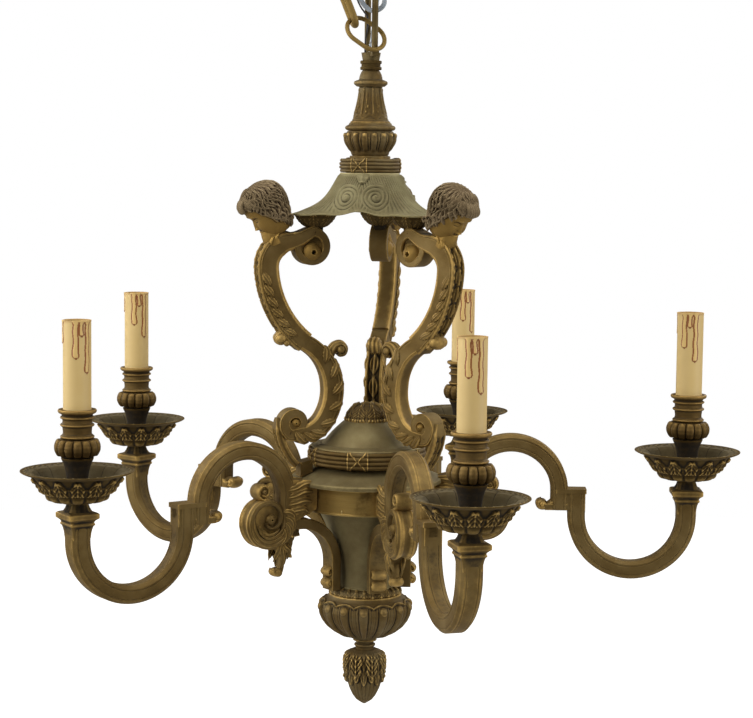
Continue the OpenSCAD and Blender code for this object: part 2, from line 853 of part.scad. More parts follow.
// The upper curve of a support, grown by a gap
module support_upper_curve(gap) {
    size = [support_t, support_w] + 2 * gap * [1, 1];
    arc_bar(sup_arc1, sup_arc1_r, sup_arc1_end, 100)
        square(size, center = true);
    arc_bar(sup_arc2, sup_arc2_r, sup_arc2_end, sup_arc1_end + 1)
        square(size - joint_step * [1, 1], center = true);
}

// A point across a curve's band: side is -1 at its inner edge and 1 at its outer
function on_band(mid, r, t, a, side) = mid + (r + side * t / 2) * [cos(a), sin(a)];

module support_lower_curve() {
    arc_bar(sup_c_mid, sup_c_r, sup_c_start, sup_c_end)
        square([support_lower_t, support_w - 2 * joint_step], center = true);
    slab(support_w - 4 * joint_step)
        polygon([on_band(sup_arc2, sup_arc2_r, support_t - 1, sup_arc2_end, -1),
            on_band(sup_arc2, sup_arc2_r, support_t - 1, sup_arc2_end, 1),
            on_band(sup_c_mid, sup_c_r, support_lower_t - 1, sup_c_start, -1),
            on_band(sup_c_mid, sup_c_r, support_lower_t - 1, sup_c_start, 1)]);
    arc_bar(sup_arc5, sup_arc5_r, sup_c_end - 2, 285)
        square([support_lower_t - joint_step, support_w - 3 * joint_step], center = true);
    arc_bar(sup_tail_mid, sup_tail_r, -54, 0)
        square([sup_tail_t, support_w - 4 * joint_step], center = true);
}

// A rolled end of a scroll: a drum with a sunk ring on each face and a round eye standing proud
module volute(mid, r, w, eye) {
    rim = 3;
    sunk = 1.5;
    difference() {
        boss(mid, r, w);
        for (side = [-1, 1])
            translate([0, side * w / 2, 0])
                difference() {
                    boss(mid, r - rim, 2 * sunk);
                    boss(mid, eye + 2, 3 * sunk);
                }
    }
    boss(mid, eye, w + 5);
}

module scroll_support(i) {
    color("#7a6433")
    at_support(i)
    difference() {
        translate([0, 0, z_shoulder]) {
                support_upper_curve(0);
                support_lower_curve();
                volute(sup_volute, volute_upper_r, support_w + joint_step, 9);
                volute(sup_low_volute, volute_lower_r, support_w + 2, 5);
                translate([dish_x, 0, sup_top - dish_h])
                    cylinder(h = dish_h, r1 = dish_r * 0.45, r2 = dish_r);
                slab(support_w - 5)
                    polygon([[dish_x - 8, sup_top - dish_h + 1], [dish_x + 10, sup_top - dish_h + 1],
                        [dish_x + 12, sup_top - 26], [dish_x - 8, sup_top - 26]]);
                for (side = [-1, 1])
                    translate([sup_leaf.x, side * (support_w / 2 - 3), sup_leaf.y])
                        sphere(r = 6);
                boss(sup_curl, sup_curl_r, support_w - 3);
                slab(support_w - 4)
                    polygon([sup_curl + [-1, -6], sup_curl + [6, 7], sup_curl + [28, 0],
                        sup_curl + [24, -14], sup_curl + [8, -18]]);
                translate([foot_at - foot_block_l / 2, -support_w / 2, -shoulder_h])
                    cube([foot_block_l, support_w, shoulder_h + 2]);
        }
        shoulder_slope(face_gap);
        translate([dish_x, 0, z_rim - dish_h + 1])
            cylinder(h = dish_h, d = support_screw_d + 2 * face_gap);
        translate([foot_at, 0, z_edge])
            cylinder(h = shoulder_h + 4, d = support_screw_d + 2 * face_gap);
        translate([0, 0, z_shoulder])
            head_pin(face_gap);
    }
}

// The pin under a child's head, in the support's upper curve
module head_pin(gap) {
    translate([head_mid.x - 4, 0, head_mid.y - head_r - head_pin_drop])
        cylinder(h = head_pin_h, r = head_pin_r + gap);
}

module putto_head(i) {
    color("#8a7444")
    at_support(i)
        translate([0, 0, z_shoulder]) {
            difference() {
                translate([head_mid.x, 0, head_mid.y]) {
                        sphere(r = head_r);
                        translate([6, 0, -8])
                            sphere(r = head_r * 0.82);
                        translate([9, 0, -19])
                            sphere(r = head_r * 0.4);
                        translate([23, 0, -11])
                            sphere(r = head_r * 0.16);
                        for (side = [-1, 1])
                            translate([12, side * head_r * 0.36, -13])
                                sphere(r = head_r * 0.42);
                        for (side = [-1, 1])
                            translate([-1, side * head_r * 0.92, -6])
                                sphere(r = head_r * 0.2);
                        translate([-5, 0, -head_r - 10])
                            cylinder(h = 18, r1 = 12, r2 = 10);
                }
                support_upper_curve(face_gap);
            }
            head_pin(0);
        }
}

module support_screws() {
    color("#c2a765")
    for (i = [1:3])
        at_support(i) {
            translate([dish_x, 0, z_rim - dish_h + 2])
                cylinder(h = dish_h - 2 + lug_h - 1.5, d = support_screw_d);
            translate([foot_at, 0, z_drum + shell])
                cylinder(h = shoulder_edge_t + shoulder_h - shell, d = support_screw_d);
            translate([foot_at, 0, z_drum + shell])
                cylinder(h = stud_nut_h, d = stud_nut_d);
        }
}

// ---- Body ----

module dome_cap() {
    color("#6a6040")
    difference() {
        union() {
            translate([0, 0, z_bell])
                rotate_extrude()
                    polygon([[0, 0], [dome_r, 0], [dome_r - 0.5, dome_h * 0.25],
                        [dome_r - 4, dome_h * 0.55], [dome_r * 0.52, dome_h * 0.85],
                        [dome_r * 0.25, dome_h], [0, dome_h]]);
            bead_ring(dome_leaves, dome_r - dome_leaf_r + 0.5, z_bell + dome_leaf_r, dome_leaf_r);
        }
        tube_hole(z_bell, z_dome - dome_grip + over);
    }
}

// Radius of the bell at a height from 0 at its foot to 1 at its top
function bell_radius(t) = dome_r + (bell_r - dome_r) * (1 - sin(90 * pow(t, 0.86)));

module bell() {
    steps = 8;
    outer = [for (i = [0:steps]) [bell_radius(i / steps), bell_h * i / steps]];
    inner = [for (i = [steps:-1:0]) [max(tube_r + tube_gap, bell_radius(i / steps) - shell * 1.6),
        min(bell_h * i / steps, bell_h - shell)]];
    color("#6b6b50")
    translate([0, 0, z_reed_lower])
        rotate_extrude()
            polygon(concat(outer, [[tube_r + tube_gap, bell_h],
                [tube_r + tube_gap, bell_h - shell]], inner));
}

module lower_reeded_ring() {
    color("#7c6a3c")
    difference() {
        union() {
            reeded_ring(reed_lower_r, z_shoulder + reed_gap_h, reed_lower_h, reed_count);
            translate([0, 0, z_shoulder])
                cylinder(h = reed_gap_h, r = shoulder_top_r - 3);
        }
        tube_hole(z_shoulder, z_reed_lower);
        translate([0, 0, z_shoulder - over])
            cylinder(h = reed_gap_h + reed_lower_h - 2 * over, r = shoulder_top_r - 10);
    }
}

module shoulder_disc() {
    color("#6b6b50")
    difference() {
        translate([0, 0, z_drum])
            rotate_extrude()
                polygon([[tube_r + tube_gap, shoulder_edge_t + shoulder_h - shell],
                    [shoulder_top_r - 2, shoulder_edge_t + shoulder_h - shell],
                    [shoulder_r - 4, shoulder_edge_t - shell], [shoulder_r - 4, shell],
                    [drum_r - 8, shell], [drum_r - 8, 0], [shoulder_r - 1, 0], [shoulder_r, 1],
                    [shoulder_r, shoulder_edge_t], [shoulder_top_r, shoulder_edge_t + shoulder_h],
                    [tube_r + tube_gap, shoulder_edge_t + shoulder_h]]);
        for (i = [1:3])
            at_support(i)
                translate([foot_at, 0, z_drum + shoulder_edge_t / 2])
                    cylinder(h = shoulder_h + shoulder_edge_t, d = support_screw_d + 2 * face_gap);
    }
}

module drum_band() {
    color("#a98d48")
    difference() {
        translate([0, 0, z_stem])
            cylinder(h = drum_h, r = drum_r);
        translate([0, 0, z_stem + shell])
            cylinder(h = drum_h, r = drum_r - shell);
        upright_hole(stem_top_r - drum_lip, z_stem, z_stem + shell);
        for (i = [1:arm_count])
            at_arm(i)
                arm_screw_hole(drum_r - 2 * shell, drum_r + over);
    }
}

// The hole of one arm screw, from one distance to another
module arm_screw_hole(from, to) {
    translate([from, 0, z_drum_mid])
        rotate([0, 90, 0])
            cylinder(h = to - from, d = arm_screw_d + 2 * face_gap);
}

module hub() {
    color("#8c7a4a")
    difference() {
        union() {
            translate([0, 0, z_stem + shell + hub_gap])
                cylinder(h = drum_h - shell - 2 * hub_gap, r = hub_r);
            for (i = [1:arm_count])
                at_arm(i)
                    translate([0, -arm_w / 2, z_drum_mid - hub_pad_h / 2])
                        cube([hub_pad_reach, arm_w, hub_pad_h]);
        }
        tube_hole(z_stem, z_drum);
        for (i = [1:arm_count])
            at_arm(i)
                arm_screw_hole(hub_r - arm_screw_grip - over, drum_r);
    }
}

module arm_screws() {
    color("#c2a765")
    for (i = [1:arm_count])
        at_arm(i)
            translate([hub_r - arm_screw_grip, 0, z_drum_mid])
                rotate([0, 90, 0])
                    cylinder(h = drum_r + arm_screw_reach - hub_r + arm_screw_grip, d = arm_screw_d);
}

// Radius of the stem at a height from 0 at its foot to 1 at its top
function stem_radius(t) = stem_foot_r + (stem_top_r - stem_foot_r) * (1 - cos(90 * pow(t, 1.25)));

module vase_stem() {
    steps = 9;
    outer = [for (i = [0:steps]) [stem_radius(i / steps), stem_h * i / steps]];
    inner = [for (i = [steps:-1:0]) [stem_radius(i / steps) - 2 * shell, stem_h * i / steps]];
    color("#6b6b50")
    translate([0, 0, z_bead])
        rotate_extrude()
            polygon(concat(outer, inner));
}

module bead_collar() {
    bead = bead_h * bead_share;
    color("#7c6a3c")
    difference() {
        union() {
            translate([0, 0, z_bowl])
                cylinder(h = bead_h, r = bead_r - bead - bead_neck);
            bead_ring(bead_count, bead_r - bead, z_bowl + bead_h / 2, bead);
        }
        tube_hole(z_bowl, z_bead);
    }
}

module gadroon_bowl() {
    lobe_r = 10.5;
    color("#7d6a3a")
    difference() {
        union() {
            translate([0, 0, z_acorn_neck])
                rotate_extrude()
                    polygon([[0, 0], [13, 0], [14, 3], [24, bowl_h * 0.16], [36, bowl_h * 0.34],
                        [bowl_r - 6, bowl_h * 0.52], [bowl_r - 3.5, bowl_h * 0.68],
                        [bowl_r - 5, bowl_h * 0.8], [bead_r + 2, bowl_h * 0.92],
                        [bead_r - 2, bowl_h], [0, bowl_h]]);
            bead_ring(bowl_lobes, bowl_r - lobe_r, z_acorn_neck + bowl_h * 0.67, lobe_r);
        }
        tube_hole(z_acorn_neck, z_bowl);
    }
}

module acorn_finial() {
    h = acorn_h;
    color("#6d5b38")
    difference() {
        union() {
            translate([0, 0, z_acorn])
                rotate_extrude()
                    polygon([[0, -over], [10, -over], [8.5, 1.5], [10.5, acorn_neck_h * 0.45],
                        [8.5, acorn_neck_h * 0.65], [11, acorn_neck_h], [0, acorn_neck_h]]);
            translate([0, 0, z_acorn - h])
                rotate_extrude()
                    polygon([[0, 0], [3.5, 1.5], [9, h * 0.1], [15.5, h * 0.24],
                        [acorn_r - 4, h * 0.4], [acorn_r - 1.5, h * 0.42], [acorn_r, h * 0.6],
                        [acorn_r - 1, h * 0.78], [acorn_r - 5, h * 0.92], [11, h], [0, h]]);
        }
        translate([0, 0, z_acorn - acorn_grip - over])
            cylinder(h = acorn_grip + acorn_neck_h + 2 * over, r = tube_r + tube_gap);
    }
}

module lower_tube() {
    color("#8c7a4a")
        tube(tube_r, tube_bore_r, z_acorn - acorn_grip, z_dome - dome_grip);
}

// ---- Arms ----

module arm_section() {
    bevelled(arm_t, arm_w, arm_bevel);
}

module arm_post(x, z0, z1) {
    translate([x, 0, z0])
        linear_extrude(z1 - z0)
            arm_section();
}

module arm_scrolls() {
    a = arm_t / 2;
    v = arm_volute_r;
    limb = [limb_x, volute_mid.y];
    volute(volute_mid, v, arm_w, v * 0.26);
    volute(curl_mid, curl_r, arm_w * 0.8, curl_r / 3);
    boss([arch_x - 1.9 * a, arch_foot + a / 2], a * 0.72, arm_w);
    slab(arm_w * 0.9)
        polygon([for (p = [[-1.9, 0], [1, 0], [1, 2], [-1, 2], [-1.1, 1]]) [arch_x, arch_foot] + p * a]);
    for (side = [-1, 1])
        translate([drop_leaf.x, side * arm_w / 5, drop_leaf.y])
            sphere(r = arm_w / 4);
    slab(arm_w * 0.6)
        polygon([limb + v * [-0.15, -0.67], limb + v * [0.52, -0.81], drop_leaf + v * [0.11, 0.07],
            drop_leaf + v * [-0.11, 0.07], limb + v * [0.04, -1.48], limb + v * [-0.22, -1.63]]);
}

// The block that meets the drum, and the strap down to the beaded collar
module arm_bracket() {
    v = arm_volute_r;
    limb = [limb_x, volute_mid.y];
    slab(bracket_w)
        polygon([[drum_r - arm_inset, -0.36 * drum_h], [drum_r - arm_inset, drum_h / 2],
            [limb_x - strap_back, 0.8 * drum_h], [limb_x, 0.8 * drum_h], [limb_x, -0.87 * drum_h],
            [limb_x - strap_back, -0.62 * drum_h]]);
    arc_bar(strap_mid, strap_r, 90, 180)
        square([strap_t, bracket_w], center = true);
    slab(bracket_w)
        polygon([[strap_mid.x - 1, strap_mid.y + strap_r + strap_t / 2],
            [strap_mid.x - 1, strap_mid.y + strap_r - strap_t / 2], limb + v * [-0.22, -1.63],
            limb + v * [0.33, -0.74], limb - v * [0, 0.19]]);
    translate([foot_x - strap_t / 2, -bracket_w / 2, z_bead - z_drum_mid])
        cube([strap_t, bracket_w, strap_mid.y - z_bead + z_drum_mid + over]);
    for (step = [1, 2.5])
        boss([foot_x + strap_t / 2, z_bead - z_drum_mid + step * bead_h], strap_t / 3, arm_w * 0.8);
}

module arm(i) {
    abacus_z = z_abacus - z_drum_mid;
    color("#7a6433")
    at_arm(i)
        translate([0, 0, z_drum_mid])
            difference() {
                union() {
                    arc_bar(arch_mid, arch_r, 0, 180)
                        arm_section();
                    arc_bar(u_mid, u_bend_r, 180, 360)
                        arm_section();
                    arm_post(limb_x, volute_mid.y - 8, arch_mid.y);
                    arm_post(arch_x, arch_foot, arch_mid.y);
                    arm_post(step_x, u_mid.y, step_top);
                    arm_post(arm_reach, u_mid.y, abacus_z - abacus_t);
                    arm_scrolls();
                    arm_bracket();
                    translate([arm_reach, 0, abacus_z - abacus_t / 2])
                        cube([abacus_w, abacus_w, abacus_t], center = true);
                    translate([arm_reach, 0, abacus_z])
                        cylinder(h = abacus_neck_h, r1 = abacus_w * 0.44, r2 = abacus_w * 0.28);
                    translate([arm_reach, 0, abacus_z])
                        cylinder(h = z_sleeve + nipple_grip - z_abacus, r = nipple_r);
                }
                translate([0, 0, -z_drum_mid]) {
                    translate([0, 0, z_stem])
                        cylinder(h = drum_h, r = drum_r + face_gap);
                    shoulder_slope(face_gap);
                    arm_screw_hole(drum_r - arm_inset, drum_r + arm_screw_reach + over);
                }
                translate([arm_reach, 0, abacus_z + abacus_neck_h])
                    cylinder(h = z_sleeve + nipple_grip - z_pan_floor + over, r = nipple_bore_r);
            }
}

// ---- Lights ----

module at_light(i) {
    at_arm(i)
        translate([arm_reach, 0, 0])
            children();
}

module drip_pan(i) {
    d = pan_depth;
    w = pan_wall;
    outer = [[0, 0], [14, 0], [24, 2.5], [33, d * 0.3], [39, d * 0.52], [pan_r - 12, d * 0.78],
        [pan_r - 9, d * 0.86], [pan_r - 1, d * 0.94], [pan_r, d]];
    inner = [[pan_r - 1.2, d], [pan_r - 10, d * 0.86 + w], [pan_r - 12 - w, d * 0.78 + w],
        [39 - w, d * 0.52 + w], [33 - w, d * 0.3 + w], [23, 2.5 + w], [13, w], [0, w]];
    color("#5f5335")
    at_light(i)
        difference() {
            union() {
                translate([0, 0, z_pan_floor])
                    rotate_extrude()
                        polygon(concat(outer, inner));
                difference() {
                    bead_ring(pan_lobes, 29, z_pan_floor + 8, pan_lobe_r);
                    translate([0, 0, z_pan_floor])
                        rotate_extrude()
                            polygon(concat(inner, [[0, 2 * d], [pan_r, 2 * d]]));
                    translate([0, 0, z_pan_floor - d])
                        cylinder(h = d, r = pan_r);
                }
            }
            upright_hole(nipple_r + nipple_gap, z_pan_floor, z_pan_floor + pan_wall);
        }
}

module candle_cup(i) {
    foot = z_pan_floor + pan_wall;
    base_h = z_bulb - foot;
    r = cup_tube_r;
    h = cup_tube_h;
    color("#5a4f33")
    at_light(i)
        difference() {
            union() {
                translate([0, 0, foot])
                    rotate_extrude()
                        polygon([[0, 0], [cup_foot_r, 0], [cup_foot_r - 2, base_h * 0.2],
                            [cup_foot_r - 2.5, base_h * 0.55], [cup_foot_r + 1, base_h],
                            [0, base_h]]);
                translate([0, 0, z_bulb])
                    rotate_extrude()
                        polygon([[0, 0], [14, 0], [cup_bulb_r - 3, cup_bulb_h * 0.32],
                            [cup_bulb_r - 2, cup_bulb_h * 0.62], [r + 1, cup_bulb_h],
                            [0, cup_bulb_h]]);
                bead_ring(cup_lobes, cup_bulb_r - cup_lobe_r, z_bulb + cup_bulb_h * 0.56, cup_lobe_r);
                translate([0, 0, z_tube])
                    rotate_extrude()
                        polygon([[0, 0], [r + 1, 0], [r + 2, h * 0.07], [r - 0.5, h * 0.16],
                            [r - 0.5, h * 0.4], [r + 2, h * 0.44], [r + 2, h * 0.51], [r, h * 0.55],
                            [r, h * 0.65], [r + 2, h * 0.69], [r + 2, h * 0.76], [r, h * 0.8],
                            [cup_flange_r - 1, h - 3.5], [cup_flange_r, h - 2],
                            [cup_flange_r - 0.5, h], [0, h]]);
            }
            upright_hole(nipple_r + nipple_gap, foot, z_cup_top);
            translate([0, 0, z_sleeve])
                cylinder(h = sleeve_seat + over, r = sleeve_r + sleeve_gap);
        }
}

module candle_sleeve(i) {
    color("#d8bf84")
    at_light(i)
        tube(sleeve_r, sleeve_r - sleeve_wall, z_sleeve, z_mouth);
}

module lampholders() {
    color("#d9d2bd")
    for (i = [1:arm_count])
        at_light(i)
            difference() {
                union() {
                    translate([0, 0, z_sleeve])
                        cylinder(h = holder_stem_h, r = holder_stem_r);
                    translate([0, 0, z_sleeve + holder_stem_h])
                        cylinder(h = z_holder_top - z_sleeve - holder_stem_h, r = holder_r);
                }
                translate([0, 0, z_sleeve - over])
                    cylinder(h = nipple_grip + over, r = nipple_r + nipple_gap);
                translate([0, 0, z_holder_top - socket_depth])
                    cylinder(h = socket_depth + over, r = socket_r);
            }
}

// ---- Flex ----

module supply_flex() {
    color("#c9d2d8")
        swept_tube(flex_route, flex_d / 2, 8);
}

module thin_wire() {
    color("#1d1a1c")
        swept_tube(wire_route, wire_d / 2, 8);
}

ceiling_plate();
ceiling_eye();
safety_eye();
s_hook();
safety_link_upper();
safety_link_lower();
safety_ring();
hang_loop();
collar_nut();
neck_cap();
vase_neck();
neck_ring();
gadroon_knop();
upper_reeded_ring();
crown_canopy();
upper_tube();
crown_nut();
dome_cap();
bell();
lower_reeded_ring();
shoulder_disc();
drum_band();
hub();
vase_stem();
bead_collar();
gadroon_bowl();
acorn_finial();
lower_tube();
support_screws();
arm_screws();
lampholders();
supply_flex();
thin_wire();
for (i = [1:3]) {
    scroll_support(i);
    putto_head(i);
}
for (i = [1:arm_count]) {
    arm(i);
    drip_pan(i);
    candle_cup(i);
    candle_sleeve(i);
}
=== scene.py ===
import math

import bpy
import numpy as np
from mathutils import Matrix, Vector


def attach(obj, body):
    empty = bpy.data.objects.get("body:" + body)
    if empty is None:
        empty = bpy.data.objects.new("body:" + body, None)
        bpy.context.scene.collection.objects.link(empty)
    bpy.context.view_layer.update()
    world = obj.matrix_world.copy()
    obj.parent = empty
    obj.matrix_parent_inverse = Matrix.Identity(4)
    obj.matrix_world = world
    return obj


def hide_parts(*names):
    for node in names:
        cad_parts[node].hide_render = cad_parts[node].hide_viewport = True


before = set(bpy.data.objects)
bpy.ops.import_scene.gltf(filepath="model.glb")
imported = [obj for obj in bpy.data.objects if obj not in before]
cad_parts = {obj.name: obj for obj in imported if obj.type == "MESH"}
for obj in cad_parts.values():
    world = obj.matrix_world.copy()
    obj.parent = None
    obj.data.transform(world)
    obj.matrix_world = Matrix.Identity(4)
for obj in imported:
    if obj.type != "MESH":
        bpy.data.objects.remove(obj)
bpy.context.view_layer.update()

MM = 0.001
FULL_TURN = 2 * math.pi
ARM_TURNS = {i: 72.0 * (i - 1) for i in range(1, 6)}
FIRST_SUPPORT = 80.0
SUPPORT_TURNS = {i: FIRST_SUPPORT + 120.0 * (i - 1) for i in range(1, 4)}

# Heights in millimetres below the ceiling, from the top down. Each is the level that a piece is built
# up from.
Z_CAP = -160.65
Z_VASE = -177.65
Z_NECK_RING = -214.15
Z_KNOP = -222.65
Z_WAIST = -248.15
Z_CROWN = -265.15
Z_RIM = -307.15
Z_MOUTH = -405.4
Z_SLEEVE = -493.4
Z_TUBE = -517.9
Z_BELL = -521.65
Z_BULB = -536.9
Z_REED_LOWER = -549.15
Z_SHOULDER = -568.15
Z_PAN_FLOOR = -579.9
Z_DRUM = -585.65
Z_ABACUS = -589.4
Z_DRUM_MID = -599.4
Z_STEM = -613.15
Z_BEAD = -696.65
Z_BOWL = -704.15
Z_ACORN_NECK = -753.65
Z_ACORN = -763.65

ARM_REACH = 333.0
BORE = 5.2


# ---- Camera ----

CAMERA_PLACE = (0.0689, -2.1435, -0.2456)
CAMERA_HEADING, CAMERA_PITCH, CAMERA_ROLL = 1.6, 5.66, 0.64
CAMERA_LENS, CAMERA_SENSOR = 99.17, 36.0


def place_camera():
    """The camera stands in front, a little above the pans, and looks slightly down."""
    heading, pitch, roll = (math.radians(v) for v in (CAMERA_HEADING, CAMERA_PITCH, CAMERA_ROLL))
    level = Vector((-math.sin(heading), math.cos(heading), 0.0))
    right = Vector((math.cos(heading), math.sin(heading), 0.0))
    ahead = level * math.cos(pitch) - Vector((0.0, 0.0, math.sin(pitch)))
    up = right.cross(ahead)
    tilted_right = right * math.cos(roll) + up * math.sin(roll)
    tilted_up = up * math.cos(roll) - right * math.sin(roll)
    data = bpy.data.cameras.new("camera")
    data.sensor_width = CAMERA_SENSOR
    data.lens = CAMERA_LENS
    data.clip_start, data.clip_end = 0.05, 60.0
    camera = bpy.data.objects.new("camera", data)
    turn = Matrix((tilted_right, tilted_up, -ahead)).transposed().to_4x4()
    camera.matrix_world = Matrix.Translation(CAMERA_PLACE) @ turn
    bpy.context.scene.collection.objects.link(camera)
    bpy.context.scene.camera = camera


place_camera()


# ---- Materials ----

def node(tree, kind, place, **values):
    made = tree.nodes.new(kind)
    made.location = place
    for key, value in values.items():
        setattr(made, key, value)
    return made


def feed(tree, socket, value):
    """Gives a socket a number or a colour, or links it to another node's output."""
    if isinstance(value, (int, float)):
        socket.default_value = value
    elif isinstance(value, tuple):
        socket.default_value = (*value, 1.0)
    else:
        tree.links.new(value, socket)


def math_node(tree, place, operation, *values, clamp=False):
    made = node(tree, "ShaderNodeMath", place, operation=operation, use_clamp=clamp)
    for socket, value in zip(made.inputs, values):
        feed(tree, socket, value)
    return made.outputs[0]


def mix_colour(tree, place, factor, first, second, blend="MIX"):
    made = node(tree, "ShaderNodeMix", place, data_type="RGBA", blend_type=blend)
    for socket, value in ((made.inputs["Factor"], factor), (made.inputs[6], first),
                          (made.inputs[7], second)):
        feed(tree, socket, value)
    return made.outputs[2]


def map_range(tree, place, value, zero_at, one_at, interpolation="SMOOTHSTEP"):
    made = node(tree, "ShaderNodeMapRange", place, interpolation_type=interpolation)
    made.inputs["From Min"].default_value = zero_at
    made.inputs["From Max"].default_value = one_at
    tree.links.new(value, made.inputs["Value"])
    return made.outputs[0]


def noise(tree, place, at, scale, detail=4.0, rough=0.6):
    made = node(tree, "ShaderNodeTexNoise", place)
    made.inputs["Scale"].default_value = scale
    made.inputs["Detail"].default_value = detail
    made.inputs["Roughness"].default_value = rough
    tree.links.new(at, made.inputs["Vector"])
    return made.outputs["Fac"]


def object_place(tree, place):
    return node(tree, "ShaderNodeTexCoord", place).outputs["Object"]


def casting_relief(tree, place):
    """The height of a casting's ornament at each point, 0.5 on its plain faces."""
    return node(tree, "ShaderNodeAttribute", place, attribute_name="relief").outputs["Fac"]


def new_material(name):
    material = bpy.data.materials.new(name)
    material.use_nodes = True
    tree = material.node_tree
    return material, tree, tree.nodes["Principled BSDF"]


def roughen(tree, shader, place, height, strength, distance):
    """Bumps too fine for the mesh, from a height in the material."""
    bump = node(tree, "ShaderNodeBump", place)
    bump.inputs["Strength"].default_value = strength
    bump.inputs["Distance"].default_value = distance
    tree.links.new(height, bump.inputs["Height"])
    tree.links.new(bump.outputs["Normal"], shader.inputs["Normal"])


def new_group(name, inputs, outputs):
    group = bpy.data.node_groups.new(name, "ShaderNodeTree")
    for label, kind, default in inputs:
        socket = group.interface.new_socket(label, in_out="INPUT", socket_type=kind)
        socket.default_value = default
    for label, kind in outputs:
        group.interface.new_socket(label, in_out="OUTPUT", socket_type=kind)
    return group, node(group, "NodeGroupInput", (-900, 0)), node(group, "NodeGroupOutput", (900, 0))


def make_patina_group():
    """Old bronze: dirt and painted shade in the hollows, patina on the flats, and rubbed wear with a painted
    highlight on the raised edges.
    """
    colour, number = "NodeSocketColor", "NodeSocketFloat"
    group, given, out = new_group(
        "bronze_patina_with_shade_and_highlight",
        [("Hollow Dirt And Shade", colour, (0.02, 0.014, 0.006, 1)), ("Patina", colour, (0.1, 0.07, 0.03, 1)),
         ("Rubbed And Highlight", colour, (0.5, 0.34, 0.11, 1)), ("Bloom", colour, (0.2, 0.2, 0.12, 1)),
         ("Relief", number, 0.5), ("Wear", number, 0.5), ("Bloom Share", number, 0.2)],
        [("Color", colour), ("Roughness", number), ("Metallic", number), ("Height", number)])
    at = object_place(group, (-900, -400))
    broad = noise(group, (-700, -300), at, 24.0, 3.0)
    fine = noise(group, (-700, -500), at, 190.0, 5.0, 0.65)
    speck = noise(group, (-700, -700), at, 900.0, 3.0, 0.7)
    # The relief, broken up so that the wear and painted highlight, and the dirt and painted shade, don't end
    # in a clean line
    broken = math_node(group, (-500, -200), "MULTIPLY_ADD", fine, 0.34, -0.17)
    level = math_node(group, (-320, -100), "ADD", given.outputs["Relief"], broken)
    # Dirt and painted shade: the lower a point sits below its softened surroundings, the more it takes the
    # hollow colour
    hollow = map_range(group, (-140, 0), level, 0.5, 0.24)
    # Rubbed wear and painted highlight: the further a point stands out, the more it takes the rubbed colour
    edge = map_range(group, (-140, -260), level, 0.6, 0.94)
    rubbed_and_highlight = math_node(group, (60, -260), "MULTIPLY", edge, given.outputs["Wear"], clamp=True)
    bloom = map_range(group, (-140, -520), broad, 0.42, 0.62, "LINEAR")
    bloomed = math_node(group, (60, -520), "MULTIPLY", bloom, given.outputs["Bloom Share"], clamp=True)
    base = mix_colour(group, (240, 200), bloomed, given.outputs["Patina"], given.outputs["Bloom"])
    # Light and dark clouds over the patina
    mottle = math_node(group, (60, -700), "MULTIPLY_ADD", speck, 0.35, 0.2)
    clouds = math_node(group, (150, -760), "MULTIPLY_ADD", broad, 1.25, mottle)
    grey = node(group, "ShaderNodeCombineColor", (240, -640))
    for socket in grey.inputs:
        group.links.new(clouds, socket)
    base = mix_colour(group, (420, 100), 1.0, base, grey.outputs[0], "MULTIPLY")
    # Dirt and painted shade in the hollows
    base = mix_colour(group, (580, 60), hollow, base, given.outputs["Hollow Dirt And Shade"])
    # Rubbed wear and painted highlight on the raised edges
    base = mix_colour(group, (740, 20), rubbed_and_highlight, base, given.outputs["Rubbed And Highlight"])
    # Dull in the hollows and smoother where it is rubbed
    dull = math_node(group, (420, -200), "MULTIPLY", hollow, 0.26)
    polished = math_node(group, (580, -200), "MULTIPLY_ADD", rubbed_and_highlight, -0.14, dull)
    uneven = math_node(group, (580, -360), "MULTIPLY_ADD", fine, 0.22, 0.5)
    rough = math_node(group, (740, -260), "ADD", polished, uneven)
    metal = math_node(group, (740, -420), "MULTIPLY_ADD", hollow, -0.45, 0.92, clamp=True)
    height = math_node(group, (740, -600), "MULTIPLY_ADD", speck, 0.35, fine)
    for name, value in (("Color", base), ("Roughness", rough), ("Metallic", metal), ("Height", height)):
        group.links.new(value, out.inputs[name])
    return group


PATINA = make_patina_group()
# The usual dirt and painted shade for the hollows, and the usual bloom, as the light that a shader takes
PLAIN_DIRT_AND_SHADE, PLAIN_BLOOM = (0.022, 0.015, 0.007), (0.16, 0.15, 0.095)


def lit_colour(red, green, blue):
    """A colour as seen, from 0 to 255, as the light that a shader takes."""
    return tuple(((v / 255 + 0.055) / 1.055) ** 2.4 if v > 10 else v / 3295 for v in (red, green, blue))


def bronze(name, patina, rubbed_and_highlight, hollow=None, bloom=None, wear=0.8, bloom_share=0.3, added_roughness=0.07,
           relief=True):
    """A bronze finish. With relief it reads the height of the casting's ornament at each point, for the dirt
    and painted shade in its hollows and the wear and painted highlight on its raised edges.
    """
    material, tree, shader = new_material(name)
    group = node(tree, "ShaderNodeGroup", (-500, 0), node_tree=PATINA)
    for label, tone, usual in (("Hollow Dirt And Shade", hollow, PLAIN_DIRT_AND_SHADE), ("Patina", patina, None),
                               ("Rubbed And Highlight", rubbed_and_highlight, None), ("Bloom", bloom, PLAIN_BLOOM)):
        group.inputs[label].default_value = (*(lit_colour(*tone) if tone else usual), 1.0)
    group.inputs["Wear"].default_value = wear
    group.inputs["Bloom Share"].default_value = bloom_share
    if relief:
        tree.links.new(casting_relief(tree, (-750, 0)), group.inputs["Relief"])
    tree.links.new(group.outputs["Color"], shader.inputs["Base Color"])
    rough = math_node(tree, (-250, -150), "ADD", group.outputs["Roughness"], added_roughness, clamp=True)
    tree.links.new(rough, shader.inputs["Roughness"])
    tree.links.new(group.outputs["Metallic"], shader.inputs["Metallic"])
    roughen(tree, shader, (-250, -350), group.outputs["Height"], 0.14, 0.0006)
    return material


